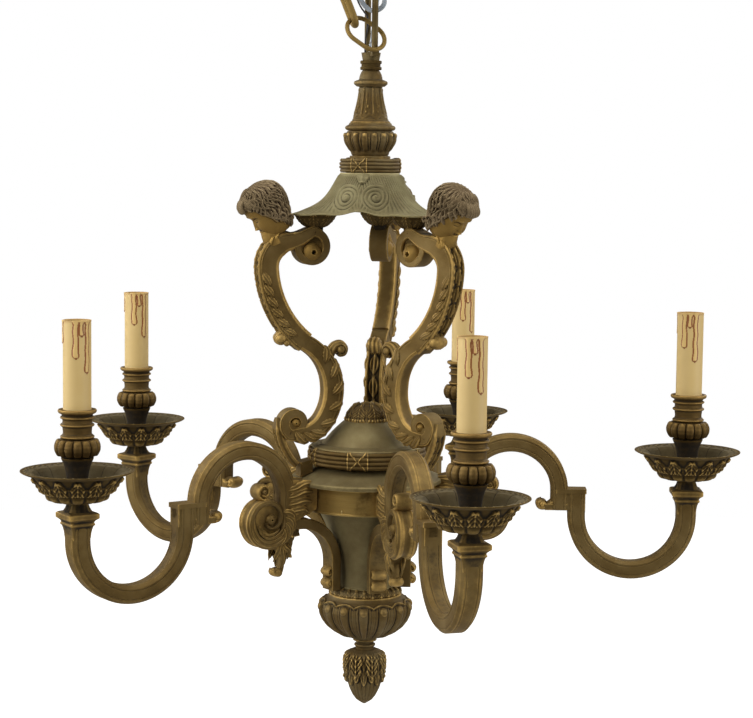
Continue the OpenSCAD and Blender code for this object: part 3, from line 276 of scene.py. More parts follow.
# Colours as seen, from 0 to 255
BRONZES = {
    "cast_bronze": dict(patina=(107, 86, 49), rubbed_and_highlight=(220, 184, 110)),
    "arm_bronze": dict(patina=(112, 90, 50), rubbed_and_highlight=(204, 168, 96), bloom=(122, 106, 70), wear=0.7,
                       bloom_share=0.4),
    "crown_bronze": dict(patina=(136, 126, 92), rubbed_and_highlight=(196, 182, 134), hollow=(58, 50, 30),
                         bloom=(146, 140, 108), wear=0.55, bloom_share=0.5, added_roughness=0.18),
    "olive_bronze": dict(patina=(120, 106, 72), rubbed_and_highlight=(188, 170, 118), bloom=(130, 120, 86), wear=0.6,
                         bloom_share=0.5),
    "dark_bronze": dict(patina=(90, 71, 37), rubbed_and_highlight=(196, 164, 98), bloom=(104, 90, 58), bloom_share=0.4,
                        added_roughness=0.22),
    "cup_bronze": dict(patina=(96, 75, 40), rubbed_and_highlight=(190, 154, 88), bloom=(100, 84, 52), wear=0.5,
                       added_roughness=0.04),
    "lit_pan_inside_bronze": dict(patina=(100, 87, 60), rubbed_and_highlight=(188, 168, 122), bloom=(94, 88, 70), wear=0.7,
                          bloom_share=0.4, added_roughness=0.3),
    "gilt_bronze": dict(patina=(140, 112, 58), rubbed_and_highlight=(206, 170, 96), hollow=(60, 42, 16),
                        bloom=(120, 98, 56), wear=0.6),
    "hair_bronze": dict(patina=(126, 108, 80), rubbed_and_highlight=(176, 158, 124), hollow=(64, 48, 28),
                        bloom=(138, 122, 98), wear=0.6, bloom_share=0.5, added_roughness=0.36),
    "plain_bronze": dict(patina=(104, 88, 54), rubbed_and_highlight=(180, 150, 96), bloom=(120, 108, 78), bloom_share=0.5,
                         relief=False),
    "old_brass": dict(patina=(150, 124, 70), rubbed_and_highlight=(210, 180, 110), bloom=(120, 100, 58), bloom_share=0.6,
                      relief=False),
}


def make_brushed_brass():
    """The turned band: fine lines round it, brown stains here and there, and rubbed wear with a painted
    highlight on its raised rims and rivets.
    """
    material, tree, shader = new_material("satin_brass")
    at = object_place(tree, (-1100, 0))
    drawn = node(tree, "ShaderNodeMapping", (-900, 0))
    drawn.inputs["Scale"].default_value = (3.0, 3.0, 260.0)
    tree.links.new(at, drawn.inputs["Vector"])
    lines = noise(tree, (-700, 100), drawn.outputs[0], 14.0, 4.0, 0.7)
    stain = noise(tree, (-700, -200), at, 26.0, 5.0, 0.6)
    stained = map_range(tree, (-500, -200), stain, 0.5, 0.68)
    relief = casting_relief(tree, (-700, -450))
    # Rubbed wear and painted highlight: the raised rims and rivets take a bright brass colour
    edge = map_range(tree, (-500, -450), relief, 0.56, 0.8)
    tone = mix_colour(tree, (-300, 100), lines, lit_colour(120, 96, 50), lit_colour(176, 146, 84))
    tone = mix_colour(tree, (-120, 60), stained, tone, lit_colour(84, 64, 32))
    tone = mix_colour(tree, (60, 20), edge, tone, lit_colour(216, 190, 124))
    tree.links.new(tone, shader.inputs["Base Color"])
    rough = math_node(tree, (-120, -200), "MULTIPLY_ADD", lines, 0.3, 0.3)
    tree.links.new(rough, shader.inputs["Roughness"])
    shader.inputs["Metallic"].default_value = 0.95
    roughen(tree, shader, (-120, -420), lines, 0.12, 0.0003)
    return material


def make_card():
    """Tan card with faint clouds and fibres, browner at its upper rim."""
    material, tree, shader = new_material("sleeve_card")
    at = object_place(tree, (-1100, 0))
    cloud = noise(tree, (-800, 100), at, 38.0, 5.0, 0.6)
    fibre = noise(tree, (-800, -150), at, 900.0, 4.0, 0.7)
    tone = mix_colour(tree, (-500, 100), cloud, lit_colour(198, 168, 106), lit_colour(208, 182, 122))
    fibred = math_node(tree, (-500, -100), "MULTIPLY", fibre, 0.22)
    tone = mix_colour(tree, (-300, 60), fibred, tone, lit_colour(186, 150, 86))
    place = node(tree, "ShaderNodeSeparateXYZ", (-800, -400))
    tree.links.new(at, place.inputs[0])
    aged = map_range(tree, (-500, -400), place.outputs["Z"], (Z_MOUTH - 3.0) * MM, (Z_MOUTH - 0.2) * MM)
    rim = math_node(tree, (-300, -400), "MULTIPLY", aged, 0.45)
    tone = mix_colour(tree, (-120, 20), rim, tone, lit_colour(160, 112, 58))
    tree.links.new(tone, shader.inputs["Base Color"])
    rough = math_node(tree, (-120, -200), "MULTIPLY_ADD", cloud, 0.2, 0.42)
    tree.links.new(rough, shader.inputs["Roughness"])
    roughen(tree, shader, (-120, -560), fibre, 0.15, 0.0003)
    return material


def make_mottled(name, first, second, rough, scale, metallic=0.0, **sockets):
    """A finish of two mottled tones, for the small parts."""
    material, tree, shader = new_material(name)
    at = object_place(tree, (-900, 0))
    mottle = noise(tree, (-700, 0), at, scale)
    tone = mix_colour(tree, (-400, 100), mottle, lit_colour(*first), lit_colour(*second))
    tree.links.new(tone, shader.inputs["Base Color"])
    varied = math_node(tree, (-400, -150), "MULTIPLY_ADD", mottle, 0.2, rough)
    tree.links.new(varied, shader.inputs["Roughness"])
    shader.inputs["Metallic"].default_value = metallic
    for label, value in sockets.items():
        shader.inputs[label.replace("_", " ")].default_value = value
    roughen(tree, shader, (-250, -350), mottle, 0.08, 0.0004)
    return material


MOTTLED = {
    "wax_drip": dict(first=(214, 184, 118), second=(204, 166, 98), rough=0.3, scale=160.0),
    "wax_edge": dict(first=(150, 92, 44), second=(120, 66, 28), rough=0.35, scale=240.0),
    "holder": dict(first=(214, 204, 178), second=(196, 184, 156), rough=0.5, scale=120.0),
    "clear_flex": dict(first=(196, 206, 214), second=(168, 180, 190), rough=0.12, scale=90.0,
                       Coat_Weight=0.8, Transmission_Weight=0.35),
    "copper_core": dict(first=(184, 120, 76), second=(150, 92, 54), rough=0.3, scale=400.0, metallic=0.9),
    "black_wire": dict(first=(26, 22, 24), second=(44, 38, 40), rough=0.4, scale=300.0),
}

FINISHES = {name: bronze(name, **tones) for name, tones in BRONZES.items()}
FINISHES["satin_brass"] = make_brushed_brass()
FINISHES["sleeve_card"] = make_card()
FINISHES.update((name, make_mottled(name, **tones)) for name, tones in MOTTLED.items())


# ---- Cords ----

FLEX_ROUTE = [[0, 0, -149], [0, 0, -143], [0.3, 0.6, -136.5], [1, 2, -130], [1.8, 4.2, -123], [2.6, 7, -116],
              [3.4, 10, -109], [4.2, 13, -102], [4.9, 15.2, -96], [5, 15.8, -90], [5.8, 13.5, -84.5],
              [7.8, 8.4, -80.6], [10.4, 2.1, -80.6], [12.4, -3, -84.5], [13.4, -5.2, -90.5],
              [11.6, -5.4, -96.3], [6, -5.2, -100.4], [-0.8, -5, -100.4], [-6.5, -5.5, -96.3],
              [-11, -7, -90], [-15, -9, -83], [-17.5, -12, -75], [-18, -15, -66], [-17, -18, -57],
              [-15, -20.5, -48], [-12, -22.5, -39], [-8, -24.3, -30], [-4, -25.5, -21], [-1, -26, -12],
              [0, -26, -5]]
WIRE_ROUTE = [[-6.3, 3.5, -146], [-6.3, 3.5, -140], [-6.2, 3.8, -134], [-5.8, 4.3, -128], [-5, 4.8, -122],
              [-4.2, 5, -116], [-4, 5.2, -110], [-5.2, 6, -105], [-8, 8, -101], [-11.5, 10.5, -96],
              [-14.5, 13, -90], [-16.5, 15.5, -83], [-17, 18, -75], [-16.5, 20, -67], [-15, 21.5, -59],
              [-13, 23, -51], [-10.5, 24.2, -43], [-7.5, 25, -35], [-4.5, 25.6, -27], [-2, 26, -19],
              [-0.5, 26, -11], [0, 26, -5]]
FLEX_WIDTH, FLEX_THICK, WIRE_WIDTH = 5.0, 2.6, 1.8


SIDEWAYS = (0.0, 1.0, 0.0)


def smooth_route(points, parts):
    """A Catmull-Rom line through the points, with so many parts between each two."""
    p = np.array(points, float)
    ends = np.vstack([2 * p[0] - p[1], p, 2 * p[-1] - p[-2]])
    t = np.linspace(0, 1, parts, endpoint=False)[:, None]
    out = []
    for a, b, c, d in zip(ends, ends[1:], ends[2:], ends[3:]):
        out.append(0.5 * (2 * b + (c - a) * t + (2 * a - 5 * b + 4 * c - d) * t * t
                          + (3 * b - a - 3 * c + d) * t ** 3))
    return np.vstack(out + [p[-1:]])


def route_length(points):
    return float(np.linalg.norm(np.diff(points, axis=0), axis=1).sum())


def distances_along(line):
    """How far each point of a line is from its start."""
    return np.concatenate([[0], np.cumsum(np.linalg.norm(np.diff(line, axis=0), axis=1))])


def unit_rows(rows):
    return rows / np.maximum(np.linalg.norm(rows, axis=-1, keepdims=True), 1e-9)


def carried_frames(line, first_side):
    """Directions across and out of a line, turned as little as possible from one point to the next."""
    along = unit_rows(np.gradient(line, axis=0))
    side = np.array(first_side, float)
    across = []
    for step in along:
        side = side - step * side.dot(step)
        side = side / np.linalg.norm(side)
        across.append(side)
    across = np.array(across)
    return across, np.cross(along, across)


# ---- Mesh tools ----

def rolled(grid, step, axis, wraps):
    """The grid's neighbours one step along an axis. At an open edge a point is its own neighbour."""
    moved = np.roll(grid, step, axis=axis)
    if not wraps:
        edge = [slice(None)] * grid.ndim
        edge[axis] = 0 if step > 0 else -1
        moved[tuple(edge)] = grid[tuple(edge)]
    return moved


def softened(grid, times, loop, ring):
    """The grid with each point moved that many times towards its four neighbours."""
    for _ in range(times):
        grid = (2 * grid + rolled(grid, 1, 0, loop) + rolled(grid, -1, 0, loop)
                + rolled(grid, 1, 1, ring) + rolled(grid, -1, 1, ring)) / 6
    return grid


def facing(grid, loop, ring):
    """The direction that each point of a grid faces."""
    across = rolled(grid, -1, 1, ring) - rolled(grid, 1, 1, ring)
    along = rolled(grid, -1, 0, loop) - rolled(grid, 1, 0, loop)
    return unit_rows(np.cross(across, along))


class Casting:
    """One piece in the making: skins of points in millimetres, each with the height of its relief."""

    def __init__(self):
        self.points, self.relief, self.faces, self.finish, self.total = [], [], [], [], 0

    def skin(self, grid, loop=False, ring=True, capped=True, finish=0, contrast=1.0, level=0.5):
        """A skin over rows of points. Its columns go round if ring, and its rows if loop.

        Caps close the end rows. The relief is how far each point stands out of its softened surroundings."""
        rows, columns = grid.shape[:2]
        normal = facing(grid, loop, ring)
        inside_out = float(((grid - grid.reshape(-1, 3).mean(0)) * normal).sum()) < 0
        if inside_out:
            normal = -normal
        fine = ((grid - softened(grid, 4, loop, ring)) * normal).sum(-1)
        broad = ((grid - softened(grid, 30, loop, ring)) * normal).sum(-1)
        size = 0.35 * np.abs(fine).mean() + 0.05
        wide = 0.5 * np.abs(broad).mean() + 0.12
        relief = level + contrast * (0.16 * np.tanh(fine / size / 3) + 0.24 * np.tanh(broad / wide / 3))
        last_row, last_column = (rows if loop else rows - 1), (columns if ring else columns - 1)
        i, j = np.meshgrid(np.arange(last_row), np.arange(last_column), indexing="ij")
        below, beside = (i + 1) % rows, (j + 1) % columns
        quads = np.stack([i * columns + j, i * columns + beside, below * columns + beside,
                          below * columns + j], -1).reshape(-1, 4)
        faces = (quads[:, ::-1] if inside_out else quads) + self.total
        self.faces.extend(faces.tolist())
        self.points.append(grid.reshape(-1, 3))
        self.relief.append(relief.reshape(-1))
        made = len(faces)
        count = rows * columns
        if capped and ring and not loop:
            for row, flip in ((0, not inside_out), (rows - 1, inside_out)):
                middle = self.total + count
                self.points.append(grid[row].mean(0)[None])
                self.relief.append(np.array([level]))
                count += 1
                start = self.total + row * columns
                for k in range(columns):
                    a, b = start + k, start + (k + 1) % columns
                    self.faces.append([b, a, middle] if flip else [a, b, middle])
                made += columns
        self.finish.extend([finish] * made)
        self.total += count

    def made(self, name, *finishes, sharp=38.0):
        mesh = bpy.data.meshes.new(name)
        points = np.vstack(self.points) * MM
        mesh.from_pydata(points.tolist(), [], self.faces)
        mesh.polygons.foreach_set("material_index", self.finish)
        mesh.attributes.new("relief", "FLOAT", "POINT").data.foreach_set(
            "value", np.clip(np.concatenate(self.relief), 0, 1).astype(np.float32))
        for finish in finishes:
            mesh.materials.append(FINISHES[finish])
        mesh.shade_smooth()
        mesh.set_sharp_from_angle(angle=math.radians(sharp))
        mesh.update()
        return mesh


def show(mesh, name, body, slot, *nodes, turn=0.0, at=(0.0, 0.0, 0.0)):
    """Puts a mesh in its place, in millimetres, on its body, for the nodes that it stands for.

    The turn goes into a copy of the mesh, so that the piece's own box is as tight as its shape."""
    if turn or any(at):
        mesh = mesh.copy()
        mesh.transform(Matrix.Rotation(math.radians(turn), 4, "Z") @ Matrix.Translation(Vector(at) * MM))
    piece = bpy.data.objects.new(name, mesh)
    bpy.context.scene.collection.objects.link(piece)
    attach(piece, body)
    if nodes:
        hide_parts(*nodes)
    return piece


def fit(casting, part, way, finish, slot=None, sharp=38.0):
    """Shows a casting as one of the chandelier's own parts, named for the part and the way it is made."""
    name = f"{part}_{way}"
    show(casting.made(name, finish, sharp=sharp), name, "chandelier", slot or finish, part)


def eased(outline, radius, closed=True):
    """An outline with each corner rounded off by up to the radius."""
    p = np.array(outline, float)
    out = []
    count = len(p)
    for k in range(count):
        if not closed and k in (0, count - 1):
            out.append(p[k])
            continue
        before, after = p[k - 1] - p[k], p[(k + 1) % count] - p[k]
        reach_b, reach_a = np.linalg.norm(before), np.linalg.norm(after)
        cut = min(radius, reach_b * 0.45, reach_a * 0.45)
        a, b = p[k] + before / reach_b * cut, p[k] + after / reach_a * cut
        for t in (0.0, 0.33, 0.67, 1.0):
            out.append(a * (1 - t) ** 2 + 2 * p[k] * t * (1 - t) + b * t * t)
    return np.array(out)


def divided(outline, step, closed=True):
    """The outline with no gap between its points longer than a step."""
    p = np.array(outline, float)
    ends = np.roll(p, -1, axis=0) if closed else p[1:]
    out = []
    for a, b in zip(p, ends):
        parts = max(1, int(math.ceil(np.linalg.norm(b - a) / step)))
        out.extend(a + (b - a) * (k / parts) for k in range(parts))
    if not closed:
        out.append(p[-1])
    return np.array(out)


def rounded(outline, corner, step, closed=True):
    """An outline with its corners rounded off and its points no further apart than a step."""
    return divided(eased(outline, corner, closed), step, closed)


def ring_of(outline, around, relief=None):
    """Turns an outline of (radius, height) points about the upright axis.

    Relief, a function of (angle, radius, height), moves each point straight out."""
    p = np.array(outline, float)
    tangent = np.roll(p, -1, axis=0) - np.roll(p, 1, axis=0)
    out = unit_rows(np.stack([tangent[:, 1], -tangent[:, 0]], -1))
    area = float((p[:, 0] * np.roll(p[:, 1], -1) - np.roll(p[:, 0], -1) * p[:, 1]).sum())
    if area < 0:
        out = -out
    angle = np.linspace(0, 2 * math.pi, around, endpoint=False)
    radius, height = (np.repeat(p[:, k][:, None], around, 1) for k in (0, 1))
    if relief is not None:
        rise = relief(np.degrees(angle)[None, :], radius, height)
        # The bore and the hollow sides stay plain
        outer = rise * (out[:, :1] > -0.4)
        radius = radius + outer * out[:, :1]
        height = height + outer * out[:, 1:]
    return np.stack([radius * np.cos(angle), radius * np.sin(angle), height], -1)


def turned(casting, outline, around=120, relief=None, ease=0.5, step=1.2, **options):
    """A turned body of revolution. Its outline runs up the outside and back down the inside.

    Level faces and the bore carry no ornament, so they keep one row in six."""
    profile = rounded(outline, ease, step)
    before, after = np.roll(profile, 1, 0), np.roll(profile, -1, 0)
    tiny = 1e-6
    upright, flat = ((np.abs(before - profile)[:, k] < tiny) & (np.abs(after - profile)[:, k] < tiny)
                     for k in (0, 1))
    plain = flat | upright & (profile[:, 0] < BORE + tiny)
    grid = ring_of(profile[~plain | (np.arange(len(profile)) % 6 == 0)], around, relief)
    casting.skin(grid, loop=True, **options)


def wave(angle, count, sharp=1.0):
    """Lobes round a circle: 1 on each lobe's middle, 0 between."""
    return (0.5 + 0.5 * np.cos(np.radians(angle * count))) ** sharp


def from_middle(angle, count):
    """How far across its own share of a circle an angle is: 0 in the share's middle and 1 at its edges."""
    return np.abs(((angle * count / 360) % 1) * 2 - 1)


def bump_at(value, middle, half):
    """A smooth rise to 1 at the middle, 0 at half a width away."""
    t = np.clip(np.abs(value - middle) / half, 0, 1)
    return (1 - t * t) ** 2


def ramp(value, start, end):
    t = np.clip((value - start) / (end - start), 0, 1)
    return t * t * (3 - 2 * t)


def swept(casting, line, across, out, section, relief=None, **options):
    """A bar along a line. A section's points lie (out, across) from it, and may differ all along the line.

    Relief is a function of (distance along, out, across)."""
    shape = np.array(section, float)
    if shape.ndim == 2:
        shape = np.repeat(shape[None], len(line), 0)
    if relief is not None:
        tangent = np.roll(shape, -1, axis=1) - np.roll(shape, 1, axis=1)
        normal = unit_rows(np.stack([tangent[..., 1], -tangent[..., 0]], -1))
        x, y = shape[..., 0], shape[..., 1]
        area = (x * np.roll(y, -1, 1) - np.roll(x, -1, 1) * y).sum(1)
        normal = normal * np.sign(area)[:, None, None]
        shape = shape + normal * relief(distances_along(line)[:, None], x, y)[..., None]
    grid = line[:, None] + shape[..., :1] * out[:, None] + shape[..., 1:] * across[:, None]
    casting.skin(grid, **options)


def oval(across, thick, points=20):
    """A round or oval section, (out, across)."""
    t = np.linspace(0, 2 * math.pi, points, endpoint=False)
    return np.stack([thick / 2 * np.cos(t), across / 2 * np.sin(t)], -1)


def flat_line(points, parts=6):
    """A smooth line in the upright plane through the axis, from (distance, height) points."""
    p = smooth_route([[x, 0, z] for x, z in points], parts)
    along = unit_rows(np.gradient(p, axis=0))
    across = np.repeat([[0.0, 1.0, 0.0]], len(p), 0)
    return p, across, np.cross(across, along)


def round_from(mid, radius, angle):
    """The point (distance, height) at a radius and an angle, in radians, from a middle."""
    return mid[0] + radius * math.cos(angle), mid[1] + radius * math.sin(angle)


def arc_points(mid, radius, start, end, step=3.0):
    """Points (distance, height) on an arc, its angles in degrees."""
    count = max(2, int(abs(end - start) * math.pi / 180 * radius / step) + 1)
    return [round_from(mid, radius, a) for a in np.radians(np.linspace(start, end, count))]


def tapered(s, total, start, end):
    """1 along a strand, drawn in to a point over a length at each end."""
    head = np.sqrt(np.clip(s / start, 0, 1)) if start else np.ones_like(s)
    foot = np.sqrt(np.clip((total - s) / end, 0, 1)) if end else np.ones_like(s)
    return np.maximum(head * foot, 0.03)


def strand(casting, points, width, thick, start=4.0, end=4.0, side=SIDEWAYS, parts=6, sides=14, **options):
    """A rounded rib through points in space, drawn in at its ends: for ridges, curls and locks of hair."""
    line = smooth_route(points, parts)
    across, out = carried_frames(line, side)
    scale = tapered(distances_along(line), route_length(line), start, end)[:, None, None]
    swept(casting, line, across, out, oval(width, thick, sides)[None] * scale, **options)


def ball(casting, at, radius, squash=(1.0, 1.0, 1.0), rows=12, columns=18, **options):
    """A bead or knob, closed at both poles."""
    t = np.linspace(0.12, math.pi - 0.12, rows)[:, None]
    a = np.linspace(0, 2 * math.pi, columns, endpoint=False)[None]
    shape = np.stack([np.sin(t) * np.cos(a), np.sin(t) * np.sin(a), np.cos(t) * np.ones_like(a)], -1)
    casting.skin(np.array(at, float) + radius * shape * np.array(squash, float), **options)


# ---- Flex and wire ----

def make_supply_flex():
    """A clear flat twin flex: two round cores side by side, joined by a web."""
    line = smooth_route(FLEX_ROUTE, 5)
    casting = Casting()
    across, out = carried_frames(line, (0.82, 0.57, 0.0))
    half = (FLEX_WIDTH - FLEX_THICK) / 2
    t = np.radians(np.linspace(-118, 118, 9))
    right = np.stack([FLEX_THICK / 2 * np.sin(t), half + FLEX_THICK / 2 * np.cos(t)], -1)
    left = np.stack([FLEX_THICK / 2 * np.sin(-t), -half - FLEX_THICK / 2 * np.cos(t)], -1)
    swept(casting, line, across, out, np.vstack([right, left]))
    for side in (-1, 1):
        core = line + across * half * side
        swept(casting, core[2:-2], across[2:-2], out[2:-2], oval(1.1, 1.1, 8), finish=1)
    flex = show(casting.made("supply_flex_cord", "clear_flex", "copper_core"), "supply_flex_cord",
                "chandelier", "clear_flex", "supply_flex")


def make_thin_wire():
    """A single black wire beside the flex."""
    line = smooth_route(WIRE_ROUTE, 5)
    casting = Casting()
    across, out = carried_frames(line, (1.0, 0.0, 0.0))
    swept(casting, line, across, out, oval(WIRE_WIDTH, WIRE_WIDTH, 12))
    wire = show(casting.made("thin_wire_cord", "black_wire"), "thin_wire_cord", "chandelier", "black_wire",
                "thin_wire")


make_supply_flex()
make_thin_wire()


# ---- Turned and gadrooned parts on the axis ----

def above(z, outline):
    return [(r, z + h) for r, h in outline]


def leaf_band(angle, count, t, lobes=4, offset=0.0):
    """Upright leaves side by side round a body, 0 to about 1.5 high. t is 0 at the foot and 1 at the tip."""
    u = from_middle(angle + offset, count)
    t = np.clip(t, 0, 1.2)
    scallops = 0.84 + 0.12 * np.cos(t * lobes * 2 * math.pi)
    edge = np.sqrt(np.clip(1 - np.clip(t, 0, 1) ** 2.4, 0, 1)) * scallops
    inside = ramp(edge - u, 0.0, 0.16) * (t < 1)
    rib = bump_at(u, 0.0, 0.16)
    vein = 0.16 * np.cos((t * lobes * 2 + u * 2.2) * 2 * math.pi)
    curl = 0.5 * bump_at(t, 0.86, 0.2)
    return inside * (0.62 + 0.45 * rib + vein + curl)


def make_collar_nut_and_cap():
    nut = Casting()
    turned(nut, above(Z_CAP, [(BORE, 0), (10.4, 0), (11, 0.5), (11, 2.9), (9.8, 3.3), (9.8, 6.1), (11, 6.5),
                              (11, 9), (10.4, 9.5), (BORE, 9.5)]), 96, ease=0.4)
    fit(nut, "collar_nut", "turned", "dark_bronze")
    cap = Casting()
    turned(cap, above(Z_VASE, [(BORE, 0), (14.2, 0), (15.6, 1.2), (17.3, 2.6), (17.5, 4.2), (16.6, 5.6),
                               (14, 6.6), (12, 7.1), (11.9, 9), (11, 12.4), (9.6, 15.2), (8.3, 17),
                               (BORE, 17)]), 96, ease=0.8)
    fit(cap, "neck_cap", "turned", "cast_bronze")


def make_vase_neck():
    """The vase neck with its husks, long and short by turns, and the moulded ring under it."""
    tall, husks = 36.5, 8

    def flutes(angle, radius, z):
        t = (z - Z_NECK_RING) / tall
        u = (angle * husks / 360) % 1
        long = bump_at(u, 0.28, 0.15) * ramp(t, 0.16, 0.26) * (1 - ramp(t, 0.86, 0.95))
        short = bump_at(u, 0.66, 0.11) * ramp(t, 0.34, 0.42) * (1 - ramp(t, 0.78, 0.88))
        bud = bump_at(u, 0.8, 0.13) * bump_at(t, 0.44, 0.09)
        berry = (bump_at(u, 0.28, 0.17) * bump_at(t, 0.93, 0.07)
                 + bump_at(u, 0.66, 0.14) * bump_at(t, 0.3, 0.07))
        swag = bump_at(t, 0.17 + 0.05 * np.cos(angle * husks * math.pi / 180), 0.06)
        sunk = 0.35 * wave(angle, husks, 0.5) * (t > 0.1)
        return 1.15 * long + 0.9 * short + 1.3 * bud + 1.2 * berry + 0.6 * swag - sunk

    vase = Casting()
    side = [(12.0 + 8.0 * (1 - h / tall) ** 1.6 - 0.5, h) for h in np.linspace(1.5, tall - 1.0, 22)]
    outline = [(BORE, 0), (20.4, 0), (20.5, 1.0)] + side + [(12.5, tall - 0.5), (12.4, tall), (BORE, tall)]
    turned(vase, above(Z_NECK_RING, outline), 288, flutes, ease=0.3, step=0.7)
    fit(vase, "vase_neck", "cast", "cast_bronze")
    ring = Casting()
    turned(ring, above(Z_KNOP, [(BORE, 0), (22, 0), (24.4, 0.6), (25.8, 2), (26, 3.4), (25.2, 4.8),
                                (23.4, 5.6), (22.4, 6), (21.9, 7.4), (20.8, 8.5), (BORE, 8.5)]),
           120, ease=0.7)
    fit(ring, "neck_ring", "turned", "cast_bronze")


def make_knop():
    """The gadrooned knop, with reeds between its lobes and a bead over each."""
    tall = 25.5

    def lobes(angle, radius, z):
        t = (z - Z_WAIST) / tall
        whole = ramp(t, 0.1, 0.3) * (1 - ramp(t, 0.84, 0.95))
        u = from_middle(angle, 16)
        bar = np.sqrt(np.clip(1 - (u / 0.62) ** 2, 0, 1))
        reed = bump_at(u, 1.0, 0.26) * 0.7 * (1 - ramp(t, 0.66, 0.8))
        bead = bump_at(u, 0, 0.7) * bump_at(t, 0.82, 0.12)
        return whole * (1.9 * bar + reed) + bead - 0.5 * whole

    knop = Casting()
    side = [(19.2, 1.4), (20.2, 5), (22.6, 9), (24.9, 12.6), (26, 15.6), (26.2, 18.4), (25.6, 21.4),
            (24.2, 23.6)]
    outline = [(BORE, 0), (18.4, 0)] + side + [(23.4, 25.2), (22, tall), (BORE, tall)]
    turned(knop, above(Z_WAIST, outline), 384, lobes, ease=0.8, step=0.7)
    fit(knop, "gadroon_knop", "cast", "cast_bronze")


def reeded_ring(z, radius, height, bands, band_turn, lift):
    """Stacked reeds, bound at even turns by crossed ribbons."""
    def bound(angle, r, h):
        t = (h - z) / height * 2 - 1
        arc = (((angle - band_turn + 180 / bands) % (360 / bands)) - 180 / bands) * math.pi / 180 * radius
        cross = np.maximum(bump_at(arc, t * height * 0.5, 1.3), bump_at(arc, -t * height * 0.5, 1.3))
        sides = bump_at(np.abs(arc), height * 0.62, 1.2)
        near = 1 - ramp(np.abs(arc), height * 0.52, height * 0.62)
        return lift * (1.1 * cross + 1.2 * sides + 0.45 * near) * (r > radius * 0.8)

    inset = radius - 4.4
    reeds = 4
    reed = height / reeds
    outline = [(BORE, 0), (inset, 0)]
    for k in range(reeds):
        # The middle reeds stand out furthest
        middle = radius - reed / 2 - abs(2 * k + 1 - reeds) * 0.22 * reed / 2
        outline += [(middle + reed / 2 * math.cos(a), reed * (k + 0.5) + reed / 2 * math.sin(a))
                    for a in np.radians(np.linspace(-80, 80, 7))]
    casting = Casting()
    turned(casting, above(z, outline + [(inset, height), (BORE, height)]), 420, bound, ease=0.12, step=0.8)
    return casting


def make_reeded_rings():
    upper_height, lower_height = 14.0, 17.0
    upper = reeded_ring(Z_CROWN, 32.0, upper_height, 3, 250.0, 0.8)
    turned(upper, above(Z_CROWN + upper_height, [(BORE, -0.5), (21.0, -0.5), (21.0, 2.2), (20.2, 3.0),
                                                 (BORE, 3.0)]),
           96, ease=0.4)
    fit(upper, "upper_reeded_ring", "cast", "cast_bronze")
    lower = reeded_ring(Z_REED_LOWER - lower_height, 62.5, lower_height, 6, 263.0, 0.9)
    turned(lower, above(Z_SHOULDER, [(BORE, 0), (49.5, 0), (49.5, 2.2), (BORE, 2.2)]), 96, ease=0.3)
    fit(lower, "lower_reeded_ring", "cast", "cast_bronze")


def make_bell_and_cap():
    """The bell with its stepped foot, and the leafy domed cap on it."""
    bell = Casting()
    wall = (2.0, 0.6)
    side = [(58.8, 0), (58.9, 0.9), (57.6, 1.9), (56.0, 2.4), (55.3, 2.0), (54.5, 2.5), (52.4, 3.0),
            (51.6, 2.6), (50.8, 3.1), (48.8, 3.4), (47.7, 3.1), (46.2, 3.9), (43.4, 7.0), (40.2, 10.8),
            (36.8, 14.8), (32.6, 19.0), (28.6, 22.8), (25.2, 25.7), (22.6, 27.5)]
    inner = [(r - wall[0], h - wall[1]) for r, h in side[::-1][1:-1]]
    outline = side + [(BORE, 27.5), (BORE, 25.7), (21, 25.7)] + inner + [(56.8, 0)]
    turned(bell, above(Z_REED_LOWER, outline), 144, ease=0.5)
    fit(bell, "bell", "spun", "olive_bronze")

    def leaves(angle, radius, z):
        t = (z - Z_BELL) / 17.0
        return 1.7 * leaf_band(angle, 8, t * 1.02, 3) + 0.8 * leaf_band(angle, 8, t * 1.5, 2, 22.5)

    cap = Casting()
    dome = [(21.4 * math.cos(a) ** 0.9, 2 + 15.2 * math.sin(a)) for a in np.radians(np.linspace(4, 70, 14))]
    outline = [(BORE, 0), (22.3, 0.2), (22.6, 1.2), (21.6, 2.2)] + dome + [(6.4, 18), (BORE, 18)]
    turned(cap, above(Z_BELL, outline), 320, leaves, ease=0.4, step=0.6)
    fit(cap, "dome_cap", "cast", "cast_bronze")


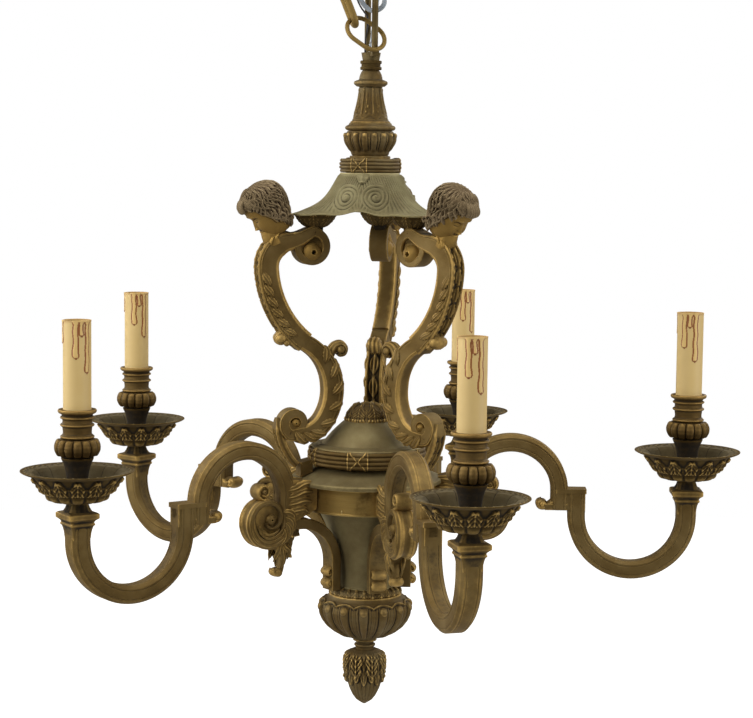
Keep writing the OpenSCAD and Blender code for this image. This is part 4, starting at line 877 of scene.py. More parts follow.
def make_drum():
    """Shoulder, brass drum with its seam and rivets, and the concave stem."""
    shoulder = Casting()
    turned(shoulder, above(Z_DRUM, [(66, 0), (78.0, 0), (78.5, 0.8), (78.5, 3.8), (77.4, 5), (76.2, 5.4),
                                    (50, 17.5), (49.4, 17.5), (49.4, 15.8), (75.2, 3.6), (75.2, 1.6),
                                    (66, 1.6)]), 180, ease=0.5)
    turned(shoulder, above(Z_DRUM, [(BORE, 15.6), (50.5, 15.6), (50.5, 17.3), (BORE, 17.3)]), 96, ease=0.2)
    fit(shoulder, "shoulder_disc", "spun", "olive_bronze")

    def seam(angle, radius, z):
        drum_radius, seam_turn = 67, 226
        arc = ((angle - seam_turn) % 360) * math.pi / 180 * drum_radius
        return -0.35 * bump_at(arc, 0, 0.5) - 0.35 * bump_at(arc, 360 * math.pi / 180 * drum_radius, 0.5)

    drum = Casting()
    turned(drum, above(Z_STEM, [(64.6, 0), (66.6, 0), (67, 0.5), (67, 1.6), (66.5, 2.1), (66.5, 25.3),
                                (67, 25.9), (67, 27.1), (66.6, 27.5), (64.6, 27.5)]), 480, seam, ease=0.3)
    for turn in (250.0, 322.0, 34.0, 106.0, 178.0):
        x, y = round_from((0, 0), 66.7, math.radians(turn))
        ball(drum, (x, y, Z_STEM + 4.5), 1.7, (0.6, 0.6, 1.0), 8, 12)
    fit(drum, "drum_band", "brushed", "satin_brass")
    stem = Casting()
    tall = 83.5
    side = [(30 + 0.4 + 21.6 * (h / tall) ** 2.3, h) for h in np.linspace(2, tall - 2, 26)]
    outline = [(BORE, 0), (31.4, 0), (31.6, 1.2)] + side + [(52.6, 82.2), (52.6, tall), (BORE, tall)]
    turned(stem, above(Z_BEAD, outline), 144, ease=0.5)
    fit(stem, "vase_stem", "spun", "olive_bronze")


def make_collar_and_bowl():
    """The beaded collar and the gadrooned bowl."""
    collar_tall, bowl_tall = 7.5, 49.5

    def foliage(angle, radius, z):
        t = (z - Z_BOWL) / collar_tall
        leaves = 1.3 * leaf_band(angle, 26, 0.15 + t * 0.85, 2)
        return leaves + 0.7 * bump_at(t, 0.2, 0.18) * wave(angle, 52, 0.7)

    collar = Casting()
    turned(collar, above(Z_BOWL, [(BORE, 0), (35.6, 0), (36.9, 1.2), (36.9, 3), (36.2, 5), (34, 6.6),
                                  (31, collar_tall), (BORE, collar_tall)]), 420, foliage, ease=0.7, step=0.6)
    fit(collar, "bead_collar", "cast", "cast_bronze")

    def gadroons(angle, radius, z):
        t = (z - Z_ACORN_NECK) / bowl_tall
        u = from_middle(angle, 14)
        head = 0.83
        low = ramp(t, 0.03, 0.16)
        bar_half = 0.5 - 0.16 * (1 - t)
        inside = np.clip(1 - (u / bar_half) ** 2, 0, 1)
        cut = np.clip((head + 0.02 - t) / 0.1, 0, 1) ** 0.5
        bar = np.sqrt(inside) * cut * low
        bead = np.sqrt(np.clip(1 - (u / 0.4) ** 2 - ((t - 0.755) / 0.085) ** 2, 0, 1))
        # Each bar ends under an arch, and the ground between the bars is sunk and reeded
        arch_t = head + 0.045 - 0.055 * u ** 2
        rim = bump_at(t, arch_t, 0.03) * 1.3
        reed = 0.5 * (0.5 + 0.5 * np.cos(u * 6.5 * math.pi)) * (u > bar_half) * low * (t < arch_t)
        sunk = -1.1 * low * (1 - ramp(t, arch_t - 0.02, arch_t))
        return 2.9 * bar + 1.5 * bead + rim + reed + sunk

    bowl = Casting()
    side = [(13, 0.8), (16, 2.2), (24, 5.4), (32, 10), (39.4, 16), (44.4, 22.6), (47.2, 29), (47.8, 34),
            (47, 38.4), (45.2, 41.6), (42.6, 43.6), (40.2, 45.2), (38.6, 47.2), (37.8, bowl_tall)]
    outline = [(BORE, 0), (12.4, 0)] + side + [(BORE, bowl_tall)]
    turned(bowl, above(Z_ACORN_NECK, outline), 672, gadroons, ease=1.0, step=0.65)
    fit(bowl, "gadroon_bowl", "cast", "cast_bronze")


def make_acorn():
    """The acorn finial: two tiers of leaves round a fluted nut, under a turned neck."""
    def leaves_and_flutes(angle, z):
        t = (Z_ACORN - z) / 60.0
        cup = 3.2 * leaf_band(angle, 8, t / 0.56, 3) + 1.7 * leaf_band(angle, 8, t / 0.62, 2, 22.5)
        flute = 0.75 * (wave(angle, 24, 0.6) - 0.5) * ramp(t, 0.52, 0.6) * (1 - ramp(t, 0.9, 1.0))
        return cup * ramp(t, 0.02, 0.1) + flute * (t > 0.4)

    acorn = Casting()
    turned(acorn, above(Z_ACORN, [(BORE, -0.5), (9.6, -0.5), (9.6, 1.8), (11.2, 3), (11, 4.6), (8.8, 5.6),
                                  (9.4, 7), (12.6, 8.6), (12.2, 9.9), (BORE, 9.9)]), 96, ease=0.4)
    nut = [(6, 0), (12, -0.6), (16.6, -3.2), (19.2, -8), (20, -14), (19.8, -20), (19.2, -27), (18.4, -31),
           (17.6, -36), (15.4, -43), (12, -50), (8, -55.2), (4.4, -57.8), (2.6, -59), (1.1, -59.9),
           (0.2, -60)]
    grid = ring_of(rounded(above(Z_ACORN, nut), 1.0, 0.6, closed=False), 384)
    angle = np.degrees(np.arctan2(grid[..., 1], grid[..., 0]))
    radius = np.hypot(grid[..., 0], grid[..., 1])
    # The relief fades out towards the tip, where the radius is small
    share = np.minimum(radius / 2.0, 1.0)[..., None]
    grown = ((radius + leaves_and_flutes(angle % 360, grid[..., 2])) / np.maximum(radius, 0.1))[..., None]
    grid[..., :2] *= grown * share + (1 - share)
    acorn.skin(grid)
    fit(acorn, "acorn_finial", "cast", "cast_bronze")


make_collar_nut_and_cap()
make_vase_neck()
make_knop()
make_reeded_rings()
make_bell_and_cap()
make_drum()
make_collar_and_bowl()
make_acorn()


# ---- Crown canopy ----

CROWN_TALL, CROWN_WALL = 42, 2.2


def crown_share(angle):
    """Where an angle lies in its own third of the crown: 0 and 1 at the tips, 0.5 in the panel's middle."""
    return ((angle - FIRST_SUPPORT) % 120) / 120


def crown_radius(t, angle):
    """The crown's radius from its top, t = 0, to its rim, t = 1, where it runs out to three tips."""
    share = ((1 + np.cos(np.radians(3 * (angle - FIRST_SUPPORT)))) / 2) ** 1.5
    return 31 + 23 * t + 29 * share * t ** 5


def crown_relief(t, angle):
    """Pairs of spirals on each panel, a leaf above them and long flowing lines between, down to the tips."""
    panel = (crown_share(angle) - 0.5) * 120
    arc = np.abs(np.radians(panel) * crown_radius(t, angle * 0 + FIRST_SUPPORT + 60))
    x, y = arc - 15.5, (t - 0.6) * 44
    far = np.hypot(x, y)
    turn = far / 4.0 + np.arctan2(y, x) / (2 * math.pi)
    spiral = 0.5 + 0.5 * np.cos(turn * 2 * math.pi)
    in_spiral = 1 - ramp(far, 13.5, 16.5)
    eye = bump_at(far, 0, 4.6)
    flow_at = arc * (1 - 0.34 * t) - 7.0 * np.sin(np.clip(t, 0, 1) * 2.4)
    lines = 0.5 + 0.5 * np.cos(flow_at / 2.5 * 2 * math.pi)
    leaf_t = (0.3 - t) / 0.3
    leaf_x = arc / 7.5
    blade = np.sqrt(np.clip(1 - (1 - leaf_t.clip(0, 1)) ** 2.2, 0, 1))
    top_leaf = ramp(blade - leaf_x, 0, 0.2) * (t < 0.34)
    top_leaf = top_leaf * (0.8 + 0.4 * bump_at(leaf_x, 0, 0.3) + 0.2 * np.cos(leaf_t * 14))
    lines_only = (1 - in_spiral) * (1 - top_leaf) * (1 - 0.7 * ramp(t, 0.88, 0.97))
    return (0.85 * spiral * in_spiral * (1 - top_leaf) + 2.4 * eye * in_spiral + 0.75 * lines * lines_only
            + 2.8 * top_leaf) * ramp(t, 0.03, 0.1)


def make_crown():
    """The spun crown with its three tips, and the bosses that the supports' dishes are screwed to."""
    crown = Casting()
    rows, around = 84, 900
    t = np.linspace(0, 1, rows)[:, None]
    angle = np.linspace(0, 360, around, endpoint=False)[None]
    radius = crown_radius(t, angle)
    # The rim rises in each panel's middle and waves towards the tips
    share = crown_share(angle)
    waves = 1.6 * wave(angle - FIRST_SUPPORT + 20, 9) * (1 - ramp(np.abs(share - 0.5), 0.25, 0.4))
    drop = t * (CROWN_TALL - 2.2 * bump_at(share, 0.5, 0.22) - waves)
    slope = np.gradient(radius, axis=0) / np.maximum(np.abs(np.gradient(drop, axis=0)), 1e-3)
    lean = 1 / np.sqrt(1 + slope ** 2)
    turn = np.radians(angle)

    def surface(push):
        r = radius + push * lean
        z = Z_CROWN - drop + push * np.clip(slope, 0, 4) * lean
        return np.stack([r * np.cos(turn), r * np.sin(turn), z], -1)

    under = np.array([0, 0, 2.0])
    outer, inner = surface(crown_relief(t, angle) - 0.8), surface(np.full_like(radius, -CROWN_WALL))
    outer[..., 2] = np.minimum(outer[..., 2], Z_CROWN)
    inner[..., 2] = np.minimum(inner[..., 2], Z_CROWN - under[2])
    top = np.stack([BORE * np.cos(turn[0]), BORE * np.sin(turn[0]), np.full(around, Z_CROWN)], -1)[None]
    crown.skin(np.concatenate([top, outer, inner[::-4], top - under]), loop=True)
    for support_turn in SUPPORT_TURNS.values():
        x, y = round_from((0, 0), 58, math.radians(support_turn))
        boss = ring_of(eased([(2.8, -1.0), (7.5, -1.0), (7.5, 3.4), (2.8, 3.4)], 0.5), 32)
        crown.skin(boss + np.array([x, y, Z_RIM + 1.0]), loop=True)
    fit(crown, "crown_canopy", "cast", "crown_bronze", slot="olive_bronze", sharp=50)


make_crown()


# ---- Bars, leaves and scrolls ----

def beside(mid, radius, angle, y):
    """A point on a side face, at a radius and an angle, in radians, from a middle in the upright plane."""
    x, z = round_from(mid, radius, angle)
    return x, y, z


def oblong(low, high, half):
    """A rectangle from low to high one way, and half its width to each side the other way."""
    return [(low, -half), (high, -half), (high, half), (low, half)]


def bar_along(casting, points, section, parts=3, **options):
    line, across, out = flat_line(points, parts)
    swept(casting, line, across, out, section, **options)


def shaped_bar(casting, points, parts, section, thick, wide, relief=None):
    """A bar whose thickness and width vary, by tables of (share of its length, factor).

    Relief is a function of the bar's whole length that returns the relief to sweep with."""
    line, across, out = flat_line(points, parts)
    lengths = distances_along(line)
    factors = [np.interp(lengths / lengths[-1], *zip(*table)) for table in (thick, wide)]
    shape = section[None] * np.stack(factors, -1)[:, None]
    swept(casting, line, across, out, shape, relief and relief(lengths[-1]))


def slab(casting, outline, depths):
    """A flat shape of (distance, height) points, with a row of them at each depth."""
    casting.skin(np.array([np.stack([outline[:, 0], np.full(len(outline), y), outline[:, 1]], -1)
                           for y in depths]))


def winding(mid, start_r, end_r, start, sweep, count):
    """A line that winds in round a middle, its angles in degrees."""
    t = np.linspace(0, 1, count)
    r = start_r + (end_r - start_r) * t
    a = np.radians(start + sweep * t)
    return [(mid[0] + x, mid[1] + z) for x, z in zip(r * np.cos(a), r * np.sin(a))]


def web(casting, mid, radius, width):
    """The sunk plate between the turns of a scroll."""
    count, half = 64, width / 2
    a = np.linspace(0, FULL_TURN, count, endpoint=False)
    casting.skin(np.stack([np.stack([mid[0] + r * np.cos(a), np.full(count, y), mid[1] + r * np.sin(a)], -1)
                           for r, y in ((radius - 0.6, -half), (radius, -half + 0.5), (radius, half - 0.5),
                                        (radius - 0.6, half))]))


def eye_knob(casting, mid, radius, base, proud, hole, side, finish=0):
    """A round eye on a scroll's face, with a small drilled hole in its middle."""
    share = np.linspace(1, 0, 30)[:, None]
    angle = np.linspace(0, FULL_TURN, 40, endpoint=False)[None]
    r = radius * share
    dome = proud * np.sqrt(np.clip(1 - (r / radius) ** 2, 0, 1))
    dip = (proud + 1.5) * (1 - ramp(r, hole * 0.7, hole))
    y = side * (base + dome - dip)
    r = np.maximum(r, 0.05)
    grid = np.stack([mid[0] + r * np.cos(angle), y + 0 * angle, mid[1] + r * np.sin(angle)], -1)
    casting.skin(np.concatenate([grid[:1] * np.array([1, 0.7, 1]), grid]), finish=finish)


def leaf(casting, points, wide, thick):
    """A leaf that lies flat on a side face, with a raised rib and a sunk groove each side of it."""
    line = smooth_route(points, 5)
    share = distances_along(line) / route_length(line)
    across, out = carried_frames(line, SIDEWAYS)
    t = np.linspace(0, FULL_TURN, 28, endpoint=False)
    blade = np.cos(t)
    rib = 1.0 + 0.45 * bump_at(blade, 0, 0.22) - 0.3 * bump_at(np.abs(blade), 0.36, 0.2)
    shape = np.stack([wide / 2 * blade, thick / 2 * np.sin(t) * rib], -1)
    scallop = 1 + 0.08 * np.cos(share * 5 * 2 * math.pi)
    spread = np.clip(np.sin(np.clip(share * 1.06, 0, 1) * math.pi) ** 0.62, 0.06, 1) * scallop
    height = np.clip(np.sin(np.clip(share, 0.02, 0.98) * math.pi) ** 0.5, 0.1, 1)
    swept(casting, line, across, out, shape[None] * np.stack([spread, height], -1)[:, None])


# ---- Arms ----

# In each arm's own plane: distances out from the axis, and heights over the middle of the drum
PAN_RISE = 50.5
U_MID, U_R = (276.0, -18.5), 57.0
ARCH_MID, ARCH_R = (150.7, 6.0), 50.3
STEP_X, ARCH_X, LIMB_X = 219.0, 201.0, 100.4
STEP_TOP, ARCH_FOOT = 9.0, -13.5
VOLUTE_MID, CURL_MID = (121.4, -16.0), (128.9, 13.0)
DROP_LEAF = (109.0, -72.0)
STRAP_MID, STRAP_R = (86.4, -67.5), 44.4
FOOT_X = 42.0
ARM_W, ARM_T = 20.0, 18.0


def moulded_section(thick, width):
    """A bar's section with bevelled edges and a fine groove beside each, (out, across)."""
    bevel, groove = 3.0, 0.55
    a, b = thick / 2, width / 2
    side = [(a, -b + bevel), (a, -b + bevel + 1.2), (a - groove, -b + bevel + 1.8), (a, -b + bevel + 2.4),
            (a, 0), (a, b - bevel - 2.4), (a - groove, b - bevel - 1.8), (a, b - bevel - 1.2),
            (a, b - bevel)]
    end = [(a - bevel, b), (a - bevel - 1.2, b), (a - bevel - 1.8, b - groove), (a - bevel - 2.4, b),
           (0, b + 0.15), (-a + bevel + 2.4, b), (-a + bevel + 1.8, b - groove), (-a + bevel + 1.2, b),
           (-a + bevel, b)]
    half = side + end
    return rounded(half + [(-x, -y) for x, y in half], 0.45, 1.6)


def arm_scroll():
    """The line of the arm's big scroll, from the inner limb round to its eye."""
    turns = np.linspace(190, 690, 44)
    radii = np.interp(turns, [190, 230, 270, 310, 360, 410, 450, 500, 560, 620, 690],
                      [20.8, 22.4, 24.0, 24.6, 23.4, 20.4, 17.2, 13.6, 10.6, 8.6, 7.0])
    return [round_from(VOLUTE_MID, r, math.radians(a)) for a, r in zip(turns, radii)]


def scroll_slot(total):
    """The long slot down the back of the arm's scroll, between two soft rims."""
    def relief(s, out, across):
        reach = np.abs(out).max(1, keepdims=True)
        share = s / total
        live = ramp(share, 0.6, 0.66) * (1 - ramp(share, 0.8, 0.86)) * ramp(out / reach, 0.86, 0.98)
        u = np.abs(across) / 9.5
        return live * (0.9 * bump_at(u, 0.75, 0.3) - 2.2 * bump_at(u, 0, 0.5))
    return relief


def make_arm_bars(arm):
    """The U bend in one sweep; the arch, the inner limb and the scroll that it rolls up into in another."""
    section = moulded_section(ARM_T, ARM_W)
    u_line = [(STEP_X, STEP_TOP - 0.3), (STEP_X, -5)] + arc_points(U_MID, U_R, 180, 360, 5)
    u_line += [(ARM_REACH, -6), (ARM_REACH, PAN_RISE - 46.6)]
    line, across, out = flat_line(u_line, 3)
    swell = 1 + 0.1 * ramp(np.arange(len(line)) / len(line), 0.62, 0.9)
    swept(arm, line, across, out, section[None] * swell[:, None, None])
    arch = [(ARCH_X, ARCH_FOOT + 0.5), (ARCH_X, -4)] + arc_points(ARCH_MID, ARCH_R, 0, 180, 5)
    arch += [(LIMB_X, -4), (LIMB_X - 0.2, -11)] + arm_scroll()
    shaped_bar(arm, arch, 3, section, [(0, 1), (0.56, 1), (0.64, 0.66), (0.74, 0.5), (0.86, 0.36),
                                       (1, 0.16)],
               [(0, 1), (0.56, 1), (0.64, 1.12), (1, 1.0)], scroll_slot)


def make_arm_step(arm):
    """The step between the arch and the U, with its cap and the little curl."""
    for low, high, wide, reach in ((ARCH_FOOT + 0.2, STEP_TOP - 4.5, ARM_W - 2.4, 0),
                                   (STEP_TOP - 4.6, STEP_TOP, ARM_W + 0.6, 1.0)):
        block = rounded(oblong(ARCH_X - 4, STEP_X + 9 + reach, wide / 2), 0.8, 2.5)
        arm.skin(np.stack([np.stack([block[:, 0], block[:, 1], np.full(len(block), h)], -1)
                           for h in np.linspace(low, high, 6)]))
    curl = [(-2, 15), (-7.5, 8), (-14, 3.4), (-19.5, 3.2), (-21.4, 7.6), (-17.6, 9.6)]
    bar_along(arm, [(ARCH_X + x, ARCH_FOOT + z) for x, z in curl], oval(ARM_W - 2, 6.6, 24), 8)
    bar_along(arm, [(ARCH_X + x, ARCH_FOOT + 3.6) for x in (-15, 0, 8)],
              rounded(oblong(-3.4, 3.4, 9.2), 1.0, 1.6))
    ball(arm, (ARCH_X - 17.6, 0, ARCH_FOOT + 6.4), 5.0, (1, ARM_W / 10 + 0.1, 1), 12, 20)


def make_arm_head(arm):
    """The moulded head of the U, the square plate, the cone under the pan, and the nipple through the cup."""
    top, around = Z_ABACUS - Z_DRUM_MID, 72
    # Heights over the plate's top, and half widths
    heads = [(-27, 9.0), (-24, 9.7), (-20, 10.0), (-16, 10.7), (-13, 11.6), (-12.2, 12.6), (-11.0, 12.9),
             (-9.9, 12.2), (-9.2, 12.1), (-7.9, 12.9), (-6.6, 14.4), (-6, 15.4), (-5.2, 16), (-4.2, 16),
             (-3.2, 16), (-2.2, 16), (-1.2, 16), (-0.6, 15.4), (0, 14.6), (1.2, 12.4), (4, 10.6), (7.5, 9.4),
             (9.4, 9.0)]
    share = np.linspace(0, 1, around, endpoint=False)
    rows = []
    for h, half in heads:
        square = rounded(oblong(-half, half, half), 1.2 if h < 1 else half * 0.7, 1.5)
        closed = np.vstack([square, square[:1]])
        lengths = distances_along(closed)
        x, y = (np.interp(share * lengths[-1], lengths, closed[:, k]) for k in (0, 1))
        rows.append(np.stack([ARM_REACH + x, y, np.full(around, top + h)], -1))
    arm.skin(np.array(rows))
    nipple = ring_of([(3.2, 9), (5, 9), (5, 109), (3.2, 109)], 24)
    arm.skin(nipple + np.array([ARM_REACH, 0, top]), loop=True)


def dress_arm_scroll(arm, side):
    """The eyes, the ridges that follow the scroll round, and the feathered leaves behind it."""
    eye_knob(arm, VOLUTE_MID, 5.6, ARM_W / 2 - 4.2, 5.4, 1.2, side)
    eye_knob(arm, CURL_MID, 3.0, ARM_W / 2 - 3.6, 3.4, 0.7, side)
    ridges = ((26.6, 212, 352), (22.6, 204, 372), (18.8, 214, 350), (15.4, 226, 340))
    for k, (radius, start, end) in enumerate(ridges):
        drawn = radius * np.interp(np.linspace(0, 1, 16), [0, 0.5, 1], [0.86, 1.0, 0.9])
        y = side * (ARM_W / 2 + 0.9 - 0.25 * k)
        turns = np.radians(np.linspace(start, end, 16))
        points = [beside(VOLUTE_MID, r, a, y) for r, a in zip(drawn, turns)]
        strand(arm, points, 2.0, 3.0, 9, 9, parts=3, sides=12)
    for k in range(4):
        a = math.radians(158 + 20 * k)
        points = [beside(VOLUTE_MID, r, a + t, side * y)
                  for r, t, y in ((14.5, -0.1, 8.2), (19.5, 0.02, 10.2), (24.0, 0.2, 10.8),
                                  (27.0, 0.44, 9.6), (28.4, 0.66, 7.4))]
        leaf(arm, points, 7.6, 3.0)


def make_bracket_leaves(arm, side):
    """The leaves of the bracket, fanned towards the drum."""
    for k, (x, z, wide) in enumerate(((70, 17, 9.0), (69, 8, 9.6), (70, -2, 9.6), (75, -12, 8.6))):
        points = [(LIMB_X + 4, side * 8.6, 12 - 7.4 * k), (LIMB_X - 6, side * 10.4, 14 - 7.6 * k),
                  (LIMB_X - 16, side * 10.6, (14 - 7.6 * k + z) / 2 + 2.4), (x + 4, side * 9.0, z + 1),
                  (x, side * 7.6, z - 2)]
        leaf(arm, points, wide, 3.4)


def make_bracket(arm):
    """The bracket's cushioned block between the limb and the drum."""
    block = rounded([(66.6, -9.4), (66.6, 14), (74, 20), (LIMB_X - 8, 23), (LIMB_X + 4, 24),
                     (LIMB_X + 4, -24), (LIMB_X - 13, -18)], 3.0, 2.2)
    middle = block.mean(0)
    rows = []
    for full, depth in ((6.4, -9.6), (8.4, -9.0), (9.3, -6.0), (9.6, 0), (9.3, 6.0), (8.4, 9.0), (6.4, 9.6)):
        x, z = (middle[k] + (block[:, k] - middle[k]) * (0.9 + 0.1 * full / 9.6) for k in (0, 1))
        rows.append(np.stack([x, np.full(len(block), depth), z], -1))
    arm.skin(np.array(rows))


def make_spray(arm):
    """The leafy spray that hangs under the scroll and ends in a bud."""
    drop_x, drop_z = DROP_LEAF
    for side in (-1, 1):
        for k, (dx, dz) in enumerate(((0, 0), (-7, 10), (6, 9))):
            points = [(LIMB_X + 9 - 3 * k, side * 5.5, -37),
                      (LIMB_X + 7 + dx * 0.4, side * 7.6, -48 + dz * 0.4),
                      (drop_x - 3 + dx, side * 6.8, -60 + dz), (drop_x + dx * 1.3, side * 4.4, -69 + dz)]
            leaf(arm, points, 8.0, 3.4)
    spray = rounded([(LIMB_X - 4, -52), (LIMB_X - 2, -32), (LIMB_X + 22, -38), (LIMB_X + 4, -56),
                     (LIMB_X - 6, -58)], 2.0, 2.2)
    slab(arm, spray, (-6, -3, 0, 3, 6))
    bar_along(arm, [(LIMB_X + 4, -50), (drop_x - 4, -60), (drop_x - 3, -68), (drop_x, -73.5),
                    (drop_x + 5.5, -72), (drop_x + 4.6, -68)], oval(12, 6.0, 20), 6)
    for side in (-1, 1):
        ball(arm, (drop_x + 1, side * 3.4, drop_z + 0.2), 4.6, (1, 1, 1), 10, 16)


def make_strap(arm):
    """The strap down to the beaded collar, with its two knobs."""
    strap_line = [(LIMB_X + 2, -30), (STRAP_MID[0] + 7, STRAP_MID[1] + STRAP_R + 0.6)]
    strap_line += arc_points(STRAP_MID, STRAP_R, 90, 180, 5) + [(FOOT_X, -80), (FOOT_X, -96.9)]
    strap = [(-5.5, -9.5), (-5.5, 9.5), (4.0, 9.5), (5.5, 8.2), (5.5, 5.6), (4.7, 5.0), (4.7, -5.0),
             (5.5, -5.6), (5.5, -8.2), (4.0, -9.5)]
    bar_along(arm, strap_line, rounded(strap, 0.5, 1.6))
    for h, r in ((-89.4, 4.2), (-77.5, 3.4)):
        bar_along(arm, [(FOOT_X + 2, h + 5), (FOOT_X + 6.5, h + 3.4), (FOOT_X + 9.2, h),
                        (FOOT_X + 7.4, h - 2.8), (FOOT_X + 4.6, h - 1.2)], oval(15, 4.4, 20), 6)
        ball(arm, (FOOT_X + 6.4, 0, h), r, (1, 1.9, 1), 10, 18)


def make_arm():
    arm = Casting()
    make_arm_bars(arm)
    make_arm_step(arm)
    make_arm_head(arm)
    web(arm, VOLUTE_MID, 17.0, ARM_W - 8)
    web(arm, CURL_MID, 6.0, ARM_W - 7)
    bar_along(arm, [(CURL_MID[0] - 9, CURL_MID[1] - 12.5)] + winding(CURL_MID, 8.2, 3.6, 252, 430, 28),
              oval(ARM_W - 2, 4.8, 20), 3)
    for side in (-1, 1):
        dress_arm_scroll(arm, side)
        make_bracket_leaves(arm, side)
    make_bracket(arm)
    make_spray(arm)
    make_strap(arm)
    return arm.made("arm_cast", "arm_bronze")


ARM_MESH = make_arm()
for i, turn in ARM_TURNS.items():
    show(ARM_MESH, f"arm_cast_{i}", "chandelier", "cast_bronze", f"arm_{i}", turn=turn,
         at=(0, 0, Z_DRUM_MID))


# ---- Drip pans, cups and candle sleeves ----

LIGHT_BORE = 5.3
PAN_LOBES = 14
SLEEVE_BORE, SLEEVE_SEAT, SLEEVE_FACE, SLEEVE_MOST = 12.6, 13.45, 13.4, 14.4


def make_pan():
    """A cast pan: engraved border on the rim, leaf relief on the wall and lobes under it."""
    def relief(angle, radius, z):
        t = z / 31.0
        bulge = np.sqrt(np.clip(1 - (from_middle(angle, PAN_LOBES) / 0.86) ** 2, 0, 1))
        lobes = 2.4 * bump_at(t, 0.17, 0.17) * bulge
        wall = ramp(t, 0.3, 0.36) * (1 - ramp(t, 0.8, 0.86))
        leaves = 2.3 * leaf_band(angle, PAN_LOBES, (t - 0.3) / 0.54, 2)
        leaves = leaves + 0.7 * leaf_band(angle, PAN_LOBES, (t - 0.3) / 0.3, 1, 12.86)
        lip = 0.35 * wave(angle, 72, 0.8) * bump_at(radius, 50.2, 2.6) * (t > 0.85)
        return lobes * (t < 0.4) + wall * leaves + lip

    pan = Casting()
    outside = [(LIGHT_BORE, 0), (13, 0), (14.4, 0.2), (22, 1.6), (27.6, 5.0), (31.4, 9.6), (35, 13.2),
               (37.8, 17.6), (40.4, 22.0), (43.2, 25.6), (45.0, 26.8), (48.8, 28.0), (53.0, 29.2),
               (54.5, 30.2), (54.3, 31.0)]
    hollow = [(53.4, 30.9), (52.4, 30.3), (47.4, 29.4), (46.2, 28.9), (43.0, 27.8), (40.2, 25.0),
              (37.4, 20.2), (33.4, 14.0), (28.4, 8.4), (21.6, 4.2), (13.6, 2.2), (LIGHT_BORE, 2.0)]
    grid = ring_of(rounded(outside + hollow, 0.35, 0.9), 364, relief)
    rows = len(grid)
    share = np.arange(rows) / rows
    radius = np.hypot(grid[..., 0], grid[..., 1])
    angle = np.degrees(np.arctan2(grid[..., 1], grid[..., 0]))
    # Crossed lines engraved on the rim, and the wall's leaves seen from inside as shallow petals
    on_rim = (share[:, None] > 0.55) & (radius > 30)
    border = bump_at(radius, 49.8, 2.9)
    engraved = 0.32 * np.cos(np.radians(angle * 40) + radius * 1.3) * border
    engraved = engraved + 0.28 * np.cos(np.radians(angle * 40) - radius * 1.3) * border
    petal = np.abs(np.sin(np.radians(angle * PAN_LOBES / 2))) ** 0.5 * bump_at(radius, 41.5, 7.5)
    grid[..., 2] += engraved * on_rim + 1.5 * petal * (share[:, None] > 0.58) + Z_PAN_FLOOR
    pan.skin(grid, loop=True)
    # The inside takes a lighter finish than the outside and underside: painted light on the upward face,
    # painted shade below
    pan.finish[:] = np.repeat((share > 0.56).astype(int), grid.shape[1]).tolist()
    return pan.made("drip_pan_cast", "dark_bronze", "lit_pan_inside_bronze")


def make_cup():
    """Foot darkened all over with painted shade, gadrooned bulb, ringed tube with painted highlights on its
    ring crests, and the flange that holds the sleeve.
    """
    cup = Casting()
    # The foot's low relief level gives it the hollow colour all over: painted shade under the bulb
    turned(cup, above(Z_PAN_FLOOR + 2.0, [(LIGHT_BORE, 0), (12.4, 0), (12.5, 1), (11.4, 4), (10.2, 8),
                                          (9.9, 14), (10.2, 21), (11.2, 28), (12.8, 34), (15.0, 39),
                                          (15.8, 41), (LIGHT_BORE, 41)]), 96, ease=0.6, level=0.2)

    def lobes(angle, radius, z):
        t = (z - Z_BULB) / 19.0
        bulge = np.sqrt(np.clip(1 - (from_middle(angle, 14) / 0.96) ** 2, 0, 1))
        return 3.1 * bulge * ramp(t, 0.02, 0.2) * (1 - ramp(t, 0.84, 1.0)) - 1.0

    turned(cup, above(Z_BULB, [(LIGHT_BORE, 0), (13, 0), (15.4, 1.4), (18.4, 4.2), (20.2, 8), (20.4, 11.4),
                               (19.2, 14.8), (16.6, 17.8), (15.6, 19), (LIGHT_BORE, 19)]), 308, lobes,
           ease=0.8, step=0.8)
    rings = [(LIGHT_BORE, 0), (15.4, 0), (16.3, 0.8), (16.3, 1.8), (15.2, 2.6), (13.8, 4.0), (13.7, 6.4),
             (14.2, 10.6), (15.7, 11.4), (16.4, 12.2), (16.2, 13.2), (14.6, 14.2), (14.1, 15), (14.1, 17.4),
             (14.6, 18.2), (16.2, 19.0), (16.4, 20.0), (15.6, 20.8), (14.4, 21.6), (15.2, 22.8), (17.6, 24),
             (18.5, 25.2), (18.5, 26.6), (18.0, 27.5), (13.9, 27.5), (13.9, 24.3), (LIGHT_BORE, 24.3)]
    # The rings' strong relief gives their crests the rubbed colour and the grooves the hollow colour: painted
    # highlight and painted shade
    turned(cup, above(Z_TUBE, rings), 112, ease=0.45, step=0.7, contrast=1.9, level=0.46)
    return cup.made("candle_cup_cast", "cup_bronze")


